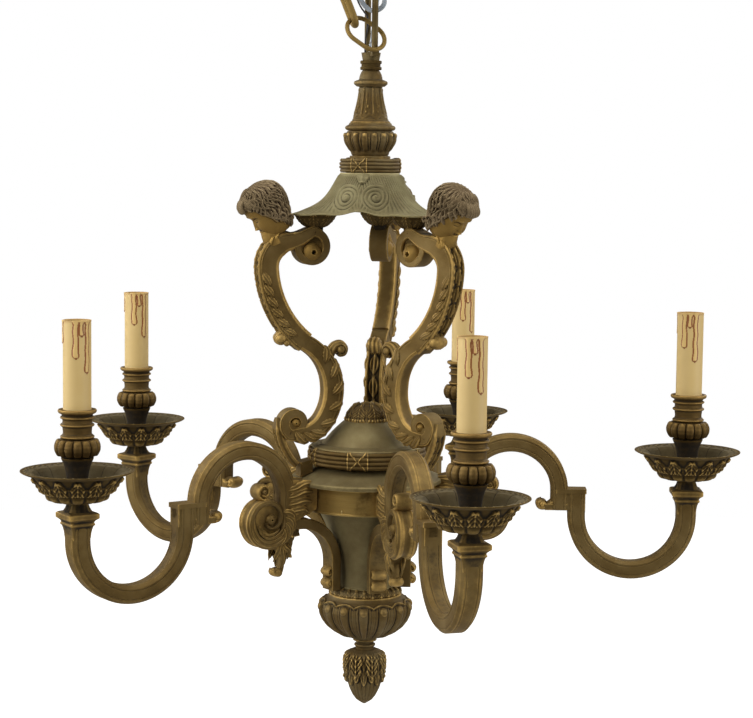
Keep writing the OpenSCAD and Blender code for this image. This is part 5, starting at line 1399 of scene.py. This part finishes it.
def make_sleeve(seed):
    """A card sleeve with wax drips of its own, each with a brown outline."""
    random = np.random.default_rng(seed)
    rows, around = 130, 220
    height = np.linspace(Z_SLEEVE, Z_MOUTH, rows)[:, None]
    down = Z_MOUTH - height
    angle = np.linspace(0, FULL_TURN, around, endpoint=False)[None]
    odd = np.sort(random.uniform(0, 360, 2)) + np.array([0, 70.0])
    shift = random.uniform(-22, 22)
    # Each drip: where it runs down, in degrees, its length and half its width
    drips = [(252 + shift, 36, 2.5), (276 + shift, 15, 1.8), (302 + shift, 50, 2.2),
             (58 + odd[0] * 0.2, 28, 2.4), (104 + odd[1] * 0.1, 44, 2.0), (176 + shift, 22, 2.1)]
    lift, edge = np.zeros((rows, around)), np.zeros((rows, around))
    for at, long, half in drips:
        arc = (((np.degrees(angle) - at + 180) % 360) - 180) * math.pi / 180 * 13.5
        arc = np.abs(arc + 0.35 * np.sin(height * 0.35 + at))
        width = half * (0.8 + 0.28 * ramp(down, long * 0.5, long)) + 1.6 * bump_at(down, 0, 4.5)
        reach = np.sqrt(np.clip(1 - ((down - long + width) / width).clip(0, 1) ** 2, 0, 1))
        inside = np.clip(1 - (arc / np.maximum(width * reach, 0.01)) ** 2, 0, 1) * (down < long)
        lift = np.maximum(lift, 0.75 * np.sqrt(inside))
        outline = bump_at(arc, width * reach + 0.35, 1.25) * (down < long + 0.6) * (down > 2)
        tail = bump_at(np.hypot(arc, down - long), 0.3, 1.6) * (down > long - 1.0)
        edge = np.maximum(edge, np.maximum(outline, tail))

    def tube(radius, height):
        return np.stack(np.broadcast_arrays(radius * np.cos(angle), radius * np.sin(angle), height), -1)

    crest = 0.25 * bump_at(down, 0.4, 1.4)
    radius = np.minimum(SLEEVE_FACE + lift + crest, SLEEVE_MOST)
    radius = np.where(height < Z_SLEEVE + 4.0, SLEEVE_SEAT, radius)
    sleeve = Casting()
    sleeve.skin(np.concatenate([tube(radius, height), tube(SLEEVE_BORE, height[[-1, 0]])]), loop=True)
    mesh = sleeve.made(f"candle_sleeve_card_{seed}", "sleeve_card", "wax_drip", "wax_edge")
    kinds = np.zeros((rows + 2, around), int)
    kinds[:rows] = np.where(edge > 0.42, 2, np.where(lift > 0.12, 1, 0))
    mesh.polygons.foreach_set("material_index", kinds.reshape(-1)[:len(mesh.polygons)])
    mesh.update()
    return mesh


PAN_MESH, CUP_MESH = make_pan(), make_cup()
for i, turn in ARM_TURNS.items():
    spot = (ARM_REACH, 0, 0)
    show(PAN_MESH, f"drip_pan_cast_{i}", "chandelier", "dark_bronze", f"drip_pan_{i}", turn=turn, at=spot)
    show(CUP_MESH, f"candle_cup_cast_{i}", "chandelier", "cast_bronze", f"candle_cup_{i}", turn=turn,
         at=spot)
    # The sleeves are moved but not turned, so that each has its longest drips in front
    show(make_sleeve(i), f"candle_sleeve_card_{i}", f"sleeve_{i}", "sleeve_card", f"candle_sleeve_{i}",
         at=(*round_from((0, 0), ARM_REACH, math.radians(turn)), 0))


# ---- Scroll supports ----

# In each support's own plane: distances out from the axis, and heights over the shoulder
SCROLL_MID, TOP_ARC, TOP_ARC_R = (64.0, 227.0), (84.0, 207.0), 25.5
SCROLL_EYE = (63.0, 221.5)
LONG_ARC, LONG_ARC_R = (4.61, 211.16), 105.0
LOWER_C, LOWER_C_R = (95.0, 79.0), 56.0
HOOK_ARC, HOOK_ARC_R = (72.1, 62.9), 28.0
LOW_SCROLL_MID = (79.6, 46.0)
TAIL_MID, TAIL_R = (31.0, 49.0), 66.0
DISH_X, DISH_TOP, DISH_DEEP = 58.0, 261.0, 11.0
SUPPORT_W, SUPPORT_T, LOWER_T = 19.0, 22.0, 21.0
GILT, DARK = 1, 2


def banded_section(thick, width):
    """A bar's section: fine points on its outer face, where the leaves stand, and lines along its sides."""
    a, b = thick / 2, width / 2
    outer = [(a, y) for y in np.linspace(-b + 0.6, b - 0.6, 25)]
    side = [(a - 0.9, b), (a - 2.2, b), (a - 2.8, b - 0.5), (a - 3.5, b - 0.1), (a - 6, b - 0.15),
            (0, b - 0.15), (-a + 4, b - 0.15), (-a + 2.6, b - 0.1), (-a + 1.9, b - 0.6), (-a + 0.8, b - 1.0)]
    inner = [(-a, y) for y in np.linspace(b - 1.8, -b + 1.8, 7)]
    return np.array(outer + side + inner + [(x, -y) for x, y in reversed(side)])


def leaf_chain(period, half, rise, start, stop, scallop):
    """Husks one after the other in a channel between two scalloped rims, on a bar's outer face only."""
    def relief(s, out, across):
        reach = out.max(1, keepdims=True)
        face = ramp(out / reach, 0.9, 0.99)
        live = ramp(s, start, start + 8) * (1 - ramp(s, stop - 8, stop))
        t = (s / period) % 1.0
        off = np.abs(across)
        u = off / half
        shape = np.clip((1 - (2 * np.abs(t - 0.42)) ** 1.8), 0, 1)
        ribs = 0.75 + 0.5 * bump_at(u, 0, 0.25) + 0.25 * np.cos(u * 3.2 * math.pi)
        husk = ramp(shape - u, 0.0, 0.22) * ribs
        bead = bump_at(np.hypot(across, (t - 0.97) * period), 0, 2.6)
        channel = -1.5 * (1 - ramp(off, half - 0.3, half + 0.7))
        rim = (0.55 + scallop * np.cos(s / 5.6 * 2 * math.pi)) * bump_at(off, half + 1.5, 1.6)
        return face * live * (channel + rise * husk * (off < half) + 1.6 * bead + rim)
    return relief


def make_upper_curve(support):
    """From its foot up over the top and into the scroll, with the scroll's web and eyes."""
    route = arc_points(LONG_ARC, LONG_ARC_R, -51.5, -3, 4) + arc_points(TOP_ARC, TOP_ARC_R, 4, 84, 4)
    route += [(75.5, 235.5)] + winding(SCROLL_MID, 15.6, 14.6, 96, 322, 26)
    shaped_bar(support, route, 4, banded_section(SUPPORT_T, SUPPORT_W),
               [(0, 1), (0.48, 1), (0.58, 0.66), (0.68, 0.4), (0.9, 0.32), (1, 0.24)],
               [(0, 1), (0.6, 1.02), (1, 0.98)],
               lambda total: leaf_chain(15.5, 5.6, 2.6, 4, total * 0.56, 0.45))
    web(support, SCROLL_MID, 14.0, SUPPORT_W - 9)
    for side in (-1, 1):
        eye_knob(support, SCROLL_EYE, 9.8, SUPPORT_W / 2 - 4.6, 8.4, 2.5, side, finish=GILT)


def make_lower_curve(support):
    route = [(76.5, 134.5)] + arc_points(LOWER_C, LOWER_C_R, 118, 215, 4)
    route += arc_points(HOOK_ARC, HOOK_ARC_R, 222, 272, 4) + winding(LOW_SCROLL_MID, 12.6, 5.0, 292, 430, 30)
    shaped_bar(support, route, 4, banded_section(LOWER_T, SUPPORT_W - 1),
               [(0, 0.8), (0.12, 0.84), (0.3, 1), (0.56, 0.95), (0.68, 0.62), (0.8, 0.5), (1, 0.22)],
               [(0, 1), (0.6, 1.06), (1, 1.04)],
               lambda total: leaf_chain(21.0, 5.6, 3.0, total * 0.17, total * 0.68, 0.0))
    web(support, LOW_SCROLL_MID, 12.5, SUPPORT_W - 8)


def dress_support_side(support, side):
    """The low scroll's eye and beads, edge lines, and the husks and leaves of both curves' side faces."""
    face = SUPPORT_W / 2
    eye_knob(support, LOW_SCROLL_MID, 4.4, face - 3, 5.0, 0.9, side, finish=GILT)
    for a in (35, 155, 275):
        spot = beside(LOW_SCROLL_MID, 8.4, math.radians(a), side * (face - 2.6))
        ball(support, spot, 2.3, (1, 1, 1), 9, 14)
    upper = arc_points(LONG_ARC, LONG_ARC_R + SUPPORT_T / 2 - 3.2, -49, -4, 6)
    upper += arc_points(TOP_ARC, TOP_ARC_R + SUPPORT_T / 2 - 3.2, 0, 96, 6)
    strand(support, [(x, side * (face - 0.1), z) for x, z in upper], 1.7, 1.7, 2, 2, parts=3, sides=10)
    lower = arc_points(LOWER_C, LOWER_C_R + LOWER_T / 2 - 4.6, 140, 214, 6)
    lower += arc_points(HOOK_ARC, HOOK_ARC_R + LOWER_T / 2 - 4.4, 220, 282, 5)
    strand(support, [(x, side * (face - 0.2), z) for x, z in lower], 1.8, 1.8, 2, 2, parts=3, sides=10)
    # Husks down the upper curve, each one laid over the next
    husk = ((6.6, 6.4, 8.6), (4.0, 5.0, 10.2), (0.6, 2.2, 10.5), (-2.6, 0.6, 9.2))
    for k in range(6):
        leaf(support, [beside(LONG_ARC, LONG_ARC_R + reach, math.radians(slip - 11 - 6.4 * k), side * y)
                       for slip, reach, y in husk], 7.4, 2.6)
    # Leaves that wrap the lower curve
    for a in range(134, 262, 18):
        mid, r, sweep = (LOWER_C, LOWER_C_R, 15) if a < 216 else (HOOK_ARC, HOOK_ARC_R, 30)
        b, c = math.radians(a), math.radians(a + sweep)
        spine = ((9.6, b, 7.6), (7.0, (2 * b + c) / 3, 9.4), (2.2, (b + 2 * c) / 3, 9.9), (-2.6, c, 8.9))
        leaf(support, [beside(mid, r + reach, t, side * y) for reach, t, y in spine], 8.6, 2.8)


def make_tail_and_foot(support):
    """The tail leaf between the scroll and the shoulder, and the foot block on the shoulder's slope."""
    line, across, out = flat_line(arc_points(TAIL_MID, TAIL_R, -45, 2, 4), 4)
    taper = np.interp(np.linspace(0, 1, len(line)), [0, 0.8, 1], [0.9, 1, 0.5])
    shape = banded_section(8.0, SUPPORT_W - 2.4)[None] * taper[:, None, None]
    swept(support, line, across, out, shape, leaf_chain(13.0, 5.0, 1.6, 2, 46, 0.3))
    block = rounded([(61.5, -4.6), (74.5, -10.3), (74.5, 5.0), (61.5, 8.0)], 1.0, 2.0)
    slab(support, block, (-9.3, -8.8, 0, 8.8, 9.3))


def make_dish(support):
    """The leaf-edged dish under the crown's tip, on a short squarish neck."""
    def leafy(angle, radius, z):
        t = (z - DISH_TOP + DISH_DEEP) / DISH_DEEP
        return 0.9 * leaf_band(angle, 8, t, 2) + 0.9 * wave(angle, 8, 0.6) * ramp(t, 0.7, 1.0) - 0.5

    dish = rounded([(0.4, 247), (8.6, 247), (12.4, 248.6), (16.6, 252.0), (19.4, 255.6), (20.8, 258.6),
                    (20.6, 260.6), (19.6, 260.95), (17.8, 260.4), (13.0, 258.2), (6.4, 256.6), (0.4, 256.4)],
                   0.6, 0.9)
    support.skin(ring_of(dish, 160, leafy) + np.array([DISH_X, 0, 0]), loop=True, finish=DARK)
    around = 60
    t = np.linspace(0, FULL_TURN, around, endpoint=False)
    c, s = (np.sign(v) * np.abs(v) ** 0.5 for v in (np.cos(t), np.sin(t)))
    necks = ((233, 59.5, 9.5, 7.2), (238, 59.5, 9.2, 7.0), (243, 59, 8.2, 6.6), (247, 58.5, 8.0, 6.8),
             (249.5, 58, 9.0, 8.2), (251.2, 58, 10.0, 9.4))
    support.skin(np.stack([np.stack([x + half_x * c, half_y * s, np.full(around, h)], -1)
                           for h, x, half_x, half_y in necks]), finish=DARK)


def make_curled_leaves(support):
    """Curled leaves at the upper curve's foot and on the lower curve's back."""
    for side in (-1, 1):
        ball(support, (95.2, side * 6.4, 133.6), 5.4, (1, 0.9, 1), 12, 20)
        ball(support, (90.0, side * 8.4, 128.6), 3.2, (1, 0.8, 1), 10, 16)
    bar_along(support, [(88, 148), (93.5, 142), (98, 136), (98.4, 131), (94, 128.6), (90, 131)],
              oval(14, 5.2, 20), 5)
    hook = [(46, 100), (44.5, 109), (41, 117.5), (36.6, 124.2), (30.6, 126.2), (26.2, 122.6), (26.8, 117.4),
            (30.2, 115.6), (33.2, 117.6)]
    line, across, out = flat_line(hook, 6)
    share = np.linspace(0, 1, len(line))
    thick = np.interp(share, [0, 0.4, 0.7, 1], [1.1, 0.9, 0.62, 0.4])
    wide = np.interp(share, [0, 0.5, 1], [1, 0.94, 0.86])
    shape = oval(SUPPORT_W - 3.6, 9.6, 36)[None] * np.stack([thick, wide], -1)[:, None]
    swept(support, line, across, out, shape, lambda s, o, y: 0.55 * np.cos(y * 1.5) * (np.abs(o) > 0.6))
    for side in (-1, 1):
        ball(support, (31.0, side * 6.0, 120.8), 4.0, (1, 0.7, 1), 10, 18)


def make_support():
    support = Casting()
    make_upper_curve(support)
    make_lower_curve(support)
    for side in (-1, 1):
        dress_support_side(support, side)
    make_tail_and_foot(support)
    make_dish(support)
    make_curled_leaves(support)
    return support.made("support_cast", "arm_bronze", "gilt_bronze", "dark_bronze")


SUPPORT_MESH = make_support()
for i, turn in SUPPORT_TURNS.items():
    show(SUPPORT_MESH, f"support_cast_{i}", "chandelier", "cast_bronze", f"scroll_support_{i}", turn=turn,
         at=(0, 0, Z_SHOULDER))


# ---- Heads ----

HEAD_ROWS = np.array([
    # height, depth in front, depth behind, half width
    (-31.0, 8.0, 9.0, 9.5), (-29.6, 13.5, 10.5, 11.2), (-28.2, 17.6, 11.6, 12.6), (-26.4, 19.8, 12.8, 14.4),
    (-23.0, 20.4, 14.8, 16.8), (-18.0, 20.4, 17.4, 19.4), (-12.0, 20.8, 20.4, 21.4), (-6.0, 21.4, 22.6, 22.4),
    (0.0, 22.4, 24.2, 22.8), (6.0, 23.6, 25.0, 23.2), (12.0, 23.2, 24.4, 22.8), (17.0, 20.8, 22.2, 20.6),
    (21.0, 17.0, 18.4, 17.0), (24.0, 12.4, 13.6, 12.6), (26.0, 7.6, 8.4, 7.8), (26.9, 3.0, 3.4, 3.1),
    (27.1, 0.4, 0.4, 0.4)])
HAIR = 1
# Tiers of locks: how many, half a step round or none, root and tip as (share of the hairline's height, height
# over it), how far the tip curls out, thickness and width
LOCK_TIERS = ((44, 0.0, (1, 12.5), (1, -0.8), 1.1, 2.2, 4.6),
              (40, 0.5, (0.25, 20.0), (0.55, 6.5), 0.2, 1.9, 4.6),
              (30, 0.5, (0.25, 26.2), (0.55, 13.5), 0.2, 1.5, 4.2))
HEAD_TILT, HEAD_SCALE = 38.0, (0.93, 0.93, 0.95, 1.0)
HEAD_REACH, HEAD_RISE = 110.0, 267.0


def skull_point(phi, z, lift=0.0):
    """A point of the head's outer form, phi round from the face's middle, in radians."""
    front, behind, half = (np.interp(z, HEAD_ROWS[:, 0], HEAD_ROWS[:, k]) for k in (1, 2, 3))
    depth = np.where(np.cos(phi) > 0, front, behind)
    c, s = np.cos(phi), np.sin(phi)
    share = ((np.abs(c) ** 2.15) + (np.abs(s) ** 2.15)) ** (-1 / 2.15)
    up = lift * ramp(z, 14.0, 27.0)
    grow = lift * (1 - 0.7 * ramp(z, 18.0, 27.0))
    return np.stack([(depth + grow) * c * share, (half + grow) * s * share, z + up + 0 * c], -1)


def gauss(value, middle, spread):
    return np.exp(-0.5 * ((value - middle) / spread) ** 2)


def face_relief(y, z):
    """A calm child's face in plain proportions: how far each point stands forward."""
    a = np.abs(y)
    eye = 7.4
    nose = ramp(z, -14.2, -12.4) * (1 - ramp(z, -6.0, 2.0)) * (5.0 - 0.42 * (z + 13)) * gauss(y, 0, 2.1)
    rise = 0.75 * np.clip(nose, 0, 5.0) + 1.7 * gauss(a, 2.7, 1.2) * gauss(z, -12.6, 1.2)
    # Brow, socket, eyeball, the lids' edges and the line between them
    rise += 1.3 * gauss(z, 2.6, 1.5) * gauss(a, eye, 4.0) - 3.4 * gauss(a, eye, 3.6) * gauss(z, -2.6, 2.4)
    rise += 2.3 * gauss(a, eye, 2.7) * gauss(z, -3.2, 1.75)
    rise -= 0.7 * gauss(z, -0.9 - 0.05 * (a - eye) ** 2, 0.42) * gauss(a, eye, 2.6)
    rise -= 0.6 * gauss(z, -5.2 + 0.05 * (a - eye) ** 2, 0.45) * gauss(a, eye, 2.6)
    rise -= 0.45 * gauss(z, -3.2, 0.35) * gauss(a, eye, 2.4)
    # Cheeks, lips with the line between them, and the chin
    rise += 2.0 * gauss(a, 11.2, 4.4) * gauss(z, -12.5, 4.4) - 0.5 * gauss(y, 0, 0.8) * gauss(z, -15.6, 1.0)
    rise += 1.9 * gauss(y, 0, 3.4) * gauss(z, -17.6 + 0.25 * gauss(y, 0, 0.8), 0.95)
    lip_line = 1.7 * gauss(y, 0, 4.2) * gauss(z, -19.0 + 0.012 * y ** 2, 0.42)
    rise += 1.8 * gauss(y, 0, 2.8) * gauss(z, -20.4, 1.05) - lip_line
    rise -= 0.9 * gauss(y, 0, 4.0) * gauss(z, -22.5, 0.9) - 2.3 * gauss(y, 0, 4.4) * gauss(z, -25.4, 2.3)
    return rise


def hairline(phi):
    return np.interp(np.abs(phi), np.radians([0, 25, 45, 60, 75, 95, 120, 180]),
                     [12.5, 11.5, 7.0, -2.0, -13.0, -22.0, -29.0, -31.0])


def make_face_and_cap(head):
    """The head's skin, with the face in front and low waves of hair above the hairline."""
    low_rows, top_rows, around = 130, 20, 260
    t = np.linspace(-math.pi, math.pi, around, endpoint=False)[None]
    z = np.concatenate([np.linspace(-31, 22, low_rows), np.linspace(22.4, 27.0, top_rows)])[:, None]
    # More columns in front, where the face is
    phi, z = np.broadcast_arrays(t - 0.42 * np.sin(t), z)
    grid = skull_point(phi, z)
    grid[..., 0] += 1.2 * face_relief(grid[..., 1], z) * ramp(np.cos(phi), 0.12, 0.5)
    line = hairline(phi) + 1.2 * np.sin(phi * 17) + 0.7 * np.sin(phi * 31)
    hair = ramp(z - line, -0.6, 1.6)
    waves = 0.7 * np.sin(phi * 22 + 1.4 * np.sin(z * 0.55) + 0.12 * z)
    waves = waves + 0.4 * np.sin(phi * 41 - 1.1 * np.sin(z * 0.8))
    grid = grid * (1 - hair[..., None]) + skull_point(phi, z, 1.3) * hair[..., None]
    grid += unit_rows(grid - np.array([0, 0, 2.0])) * (waves * hair * (1 - 0.8 * ramp(z, 20, 27)))[..., None]
    # Stronger relief contrast: painted shade in the eye sockets and other hollows, painted highlight on the
    # cheeks and other raised parts
    head.skin(grid, level=0.52, contrast=1.5)
    haired = (hair > 0.5)[:-1].astype(int).reshape(-1).tolist()
    head.finish[:] = haired + [HAIR] * (len(head.finish) - len(haired))


def make_locks(head):
    """Locks in three overlapping tiers, each with a curled end."""
    random = np.random.default_rng(11)
    share = np.linspace(0, 1, 8)
    for count, shift, root, tip, flick, thick, wide in LOCK_TIERS:
        for k in range(count):
            base = 2 * math.pi * (k + shift) / count + random.uniform(-0.05, 0.05) - math.pi
            foot = hairline(base)
            z0, z1 = foot * root[0] + root[1], foot * tip[0] + tip[1]
            heights = np.clip(z0 + (z1 - z0) * share, -29.5, 26.4)
            sway = 0.09 * np.sin(share * 7.0 + 5.0 * base + random.uniform(-0.5, 0.5)) + 0.16 * share
            spread = 1.0 + 1.6 * ramp(heights, 18, 27)
            lift = 0.9 + 0.5 * np.sin(share * math.pi) + flick * share ** 4
            bare = skull_point(base + sway * spread, heights)
            points = bare + unit_rows(bare - np.array([0, 0, 1.0])) * lift[:, None]
            strand(head, points, wide * random.uniform(0.85, 1.1), thick, 5, 4, side=(0, 1, 0.2), parts=4,
                   sides=12, finish=HAIR)


def make_forelock_and_curls(head):
    """The forelock over the brow, and the curls that roll over the ears and at the nape."""
    for y in (-7.4, -4.4, -1.4, 1.6, 4.6, 7.6):
        reach = 0.2 - abs(y) / 14
        points = [(15, y * 0.9, 22.6), (20.5, y * 1.02, 20.6), (25.0 + 2.4 * reach, y * 1.08 + 0.6, 17.4),
                  (26.4 + 3.4 * reach, y * 1.06 + 1.0, 14.0), (25.4 + 2.6 * reach, y + 0.4, 11.2),
                  (23.6 + reach, y - 0.6, 12.0)]
        strand(head, points, 4.4, 3.6, 5, 3, parts=5, finish=HAIR)
    for side in (-1, 1):
        for x, y, z, size in ((3.0, 21.6, -9.0, 4.2), (-4.5, 21.2, -15.0, 4.4), (-11.5, 15.6, -22.0, 4.2)):
            curl = [(x + size * (1 - 0.09 * k) * math.cos(a), side * (y + 1.6 + 0.1 * k),
                     z + size * (1 - 0.09 * k) * math.sin(a))
                    for k, a in enumerate(np.linspace(0.4, 8.6, 12))]
            strand(head, curl, 2.6, 2.4, 3, 3, parts=3, finish=HAIR)


def make_head():
    head = Casting()
    make_face_and_cap(head)
    make_locks(head)
    make_forelock_and_curls(head)
    mesh = head.made("head_cast", "gilt_bronze", "hair_bronze", sharp=60.0)
    mesh.transform(Matrix.Rotation(math.radians(HEAD_TILT), 4, "Y") @ Matrix.Diagonal(HEAD_SCALE))
    return mesh


def make_head_neck():
    """The neck that rises out of the support's top, with two leaves a side as a collar."""
    neck = Casting()
    strand(neck, [(101.5, 0, 229.5), (103.6, 0, 234.5), (105.4, 0, 240), (106.6, 0, 246), (107.2, 0, 252)],
           21.5, 19.5, 0, 0, parts=5, sides=48)
    for side in (-1, 1):
        for k in range(2):
            points = [(98 + 5 * k, side * 7.2, 241.5 - 2.6 * k),
                      (101.5 + 5 * k, side * 9.6, 239.2 - 3.2 * k),
                      (103.0 + 5 * k, side * 9.6, 235.4 - 3.6 * k),
                      (102.0 + 5 * k, side * 8.0, 232.4 - 3.8 * k)]
            strand(neck, points, 4.6, 2.8, 3, 3, parts=4)
    return neck.made("head_neck_cast", "gilt_bronze")


HEAD_MESH, HEAD_NECK_MESH = make_head(), make_head_neck()
for i, turn in SUPPORT_TURNS.items():
    show(HEAD_NECK_MESH, f"head_neck_cast_{i}", "chandelier", "gilt_bronze", turn=turn,
         at=(0, 0, Z_SHOULDER))
    show(HEAD_MESH, f"head_cast_{i}", "chandelier", "gilt_bronze", f"putto_head_{i}", turn=turn,
         at=(HEAD_REACH, 0, Z_SHOULDER + HEAD_RISE))


# ---- Parts kept as the CAD has them, in their own finishes ----

def finish_kept_nodes():
    kept = {"plain_bronze": ["ceiling_plate", "ceiling_eye", "safety_eye", "s_hook", "hang_loop"],
            "old_brass": ["safety_link_upper", "safety_link_lower", "safety_ring", "upper_tube",
                          "lower_tube", "crown_nut", "hub", "support_screws", "arm_screws"],
            "holder": ["lampholders"]}
    for finish, nodes in kept.items():
        for name in nodes:
            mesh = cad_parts[name].data
            if not mesh.materials:
                mesh.materials.append(None)
            for k in range(len(mesh.materials)):
                mesh.materials[k] = FINISHES[finish]


finish_kept_nodes()


# ---- Floor and light ----

FLOOR_RADIUS, FLOOR_HEIGHT = 15.0, -3.2
# Place, target, size in metres and power in watts
LIGHTS = {"key_left": ((-1.5, -1.9, 0.75), (0, 0, -0.5), (0.9, 1.2), 34),
          "side_left": ((-2.1, -0.3, 0.1), (0, 0, -0.5), (0.5, 1.8), 24),
          "side_right": ((2.1, -0.7, 0.1), (0, 0, -0.5), (0.5, 1.8), 24),
          "back_right": ((1.4, 1.7, 0.6), (0, 0, -0.45), (0.9, 1.4), 18),
          "back_left": ((-1.7, 1.3, 0.2), (0, 0, -0.5), (0.8, 1.4), 12),
          "above": ((0.0, -0.2, 1.5), (0, 0, -0.5), (1.2, 1.2), 30)}


def make_floor():
    """The floor of the room, as far below the ceiling plate as in a tall room."""
    mesh = bpy.data.meshes.new("floor")
    sides = 64
    t = np.linspace(0, FULL_TURN, sides, endpoint=False)
    rim = np.stack([FLOOR_RADIUS * np.cos(t), FLOOR_RADIUS * np.sin(t), np.full(sides, FLOOR_HEIGHT)], -1)
    mesh.from_pydata(rim.tolist(), [], [list(range(sides))])
    material, tree, shader = new_material("pale_floor")
    shader.inputs["Base Color"].default_value = (0.86, 0.86, 0.85, 1)
    shader.inputs["Roughness"].default_value = 0.9
    shader.inputs["Emission Color"].default_value = (1, 1, 1, 1)
    path = node(tree, "ShaderNodeLightPath", (-500, -300))
    glow = math_node(tree, (-250, -300), "MULTIPLY_ADD", path.outputs["Is Camera Ray"], 0.78, 0.17)
    tree.links.new(glow, shader.inputs["Emission Strength"])
    mesh.materials.append(material)
    floor = bpy.data.objects.new("floor", mesh)
    bpy.context.scene.collection.objects.link(floor)


def make_light(name, place, target, size, power):
    data = bpy.data.lights.new(name, "AREA")
    data.shape, data.size, data.size_y = "RECTANGLE", size[0], size[1]
    data.energy = power
    lamp = bpy.data.objects.new(name, data)
    lamp.location = place
    lamp.rotation_euler = (Vector(target) - Vector(place)).to_track_quat("-Z", "Y").to_euler()
    bpy.context.scene.collection.objects.link(lamp)


def make_sky():
    """White to the eye, and a soft gradient, lighter above and to the sides, to everything that it lights."""
    world = bpy.data.worlds.new("studio")
    world.use_nodes = True
    tree = world.node_tree
    tree.nodes.clear()
    out = node(tree, "ShaderNodeOutputWorld", (600, 0))
    seen = node(tree, "ShaderNodeBackground", (200, 120))
    seen.inputs["Color"].default_value = (1, 1, 1, 1)
    seen.inputs["Strength"].default_value = 1.0
    lit = node(tree, "ShaderNodeBackground", (200, -120))
    lit.inputs["Color"].default_value = (1.0, 0.99, 0.97, 1)
    at = node(tree, "ShaderNodeTexCoord", (-700, -120)).outputs["Generated"]
    way = node(tree, "ShaderNodeSeparateXYZ", (-500, -120))
    tree.links.new(at, way.inputs[0])
    # Bright to the sides and above, dark in front, behind and below
    aside = math_node(tree, (-400, -20), "ABSOLUTE", way.outputs["X"], 0.0)
    sides = math_node(tree, (-300, -60), "POWER", aside, 2.0)
    upward = math_node(tree, (-300, -220), "MAXIMUM", way.outputs["Z"], 0.0)
    glow = math_node(tree, (-150, -120), "MULTIPLY_ADD", sides, 0.33)
    tree.links.new(math_node(tree, (-200, -280), "MULTIPLY", upward, 0.34), glow.node.inputs[2])
    dim = math_node(tree, (0, -120), "ADD", glow, 0.035)
    tree.links.new(dim, lit.inputs["Strength"])
    path = node(tree, "ShaderNodeLightPath", (0, 320))
    mixed = node(tree, "ShaderNodeMixShader", (400, 0))
    tree.links.new(path.outputs["Is Camera Ray"], mixed.inputs["Fac"])
    tree.links.new(lit.outputs[0], mixed.inputs[1])
    tree.links.new(seen.outputs[0], mixed.inputs[2])
    tree.links.new(mixed.outputs[0], out.inputs["Surface"])
    bpy.context.scene.world = world


make_floor()
for name, light in LIGHTS.items():
    make_light(name, *light)
make_sky()
bpy.context.scene.view_settings.view_transform = "Standard"
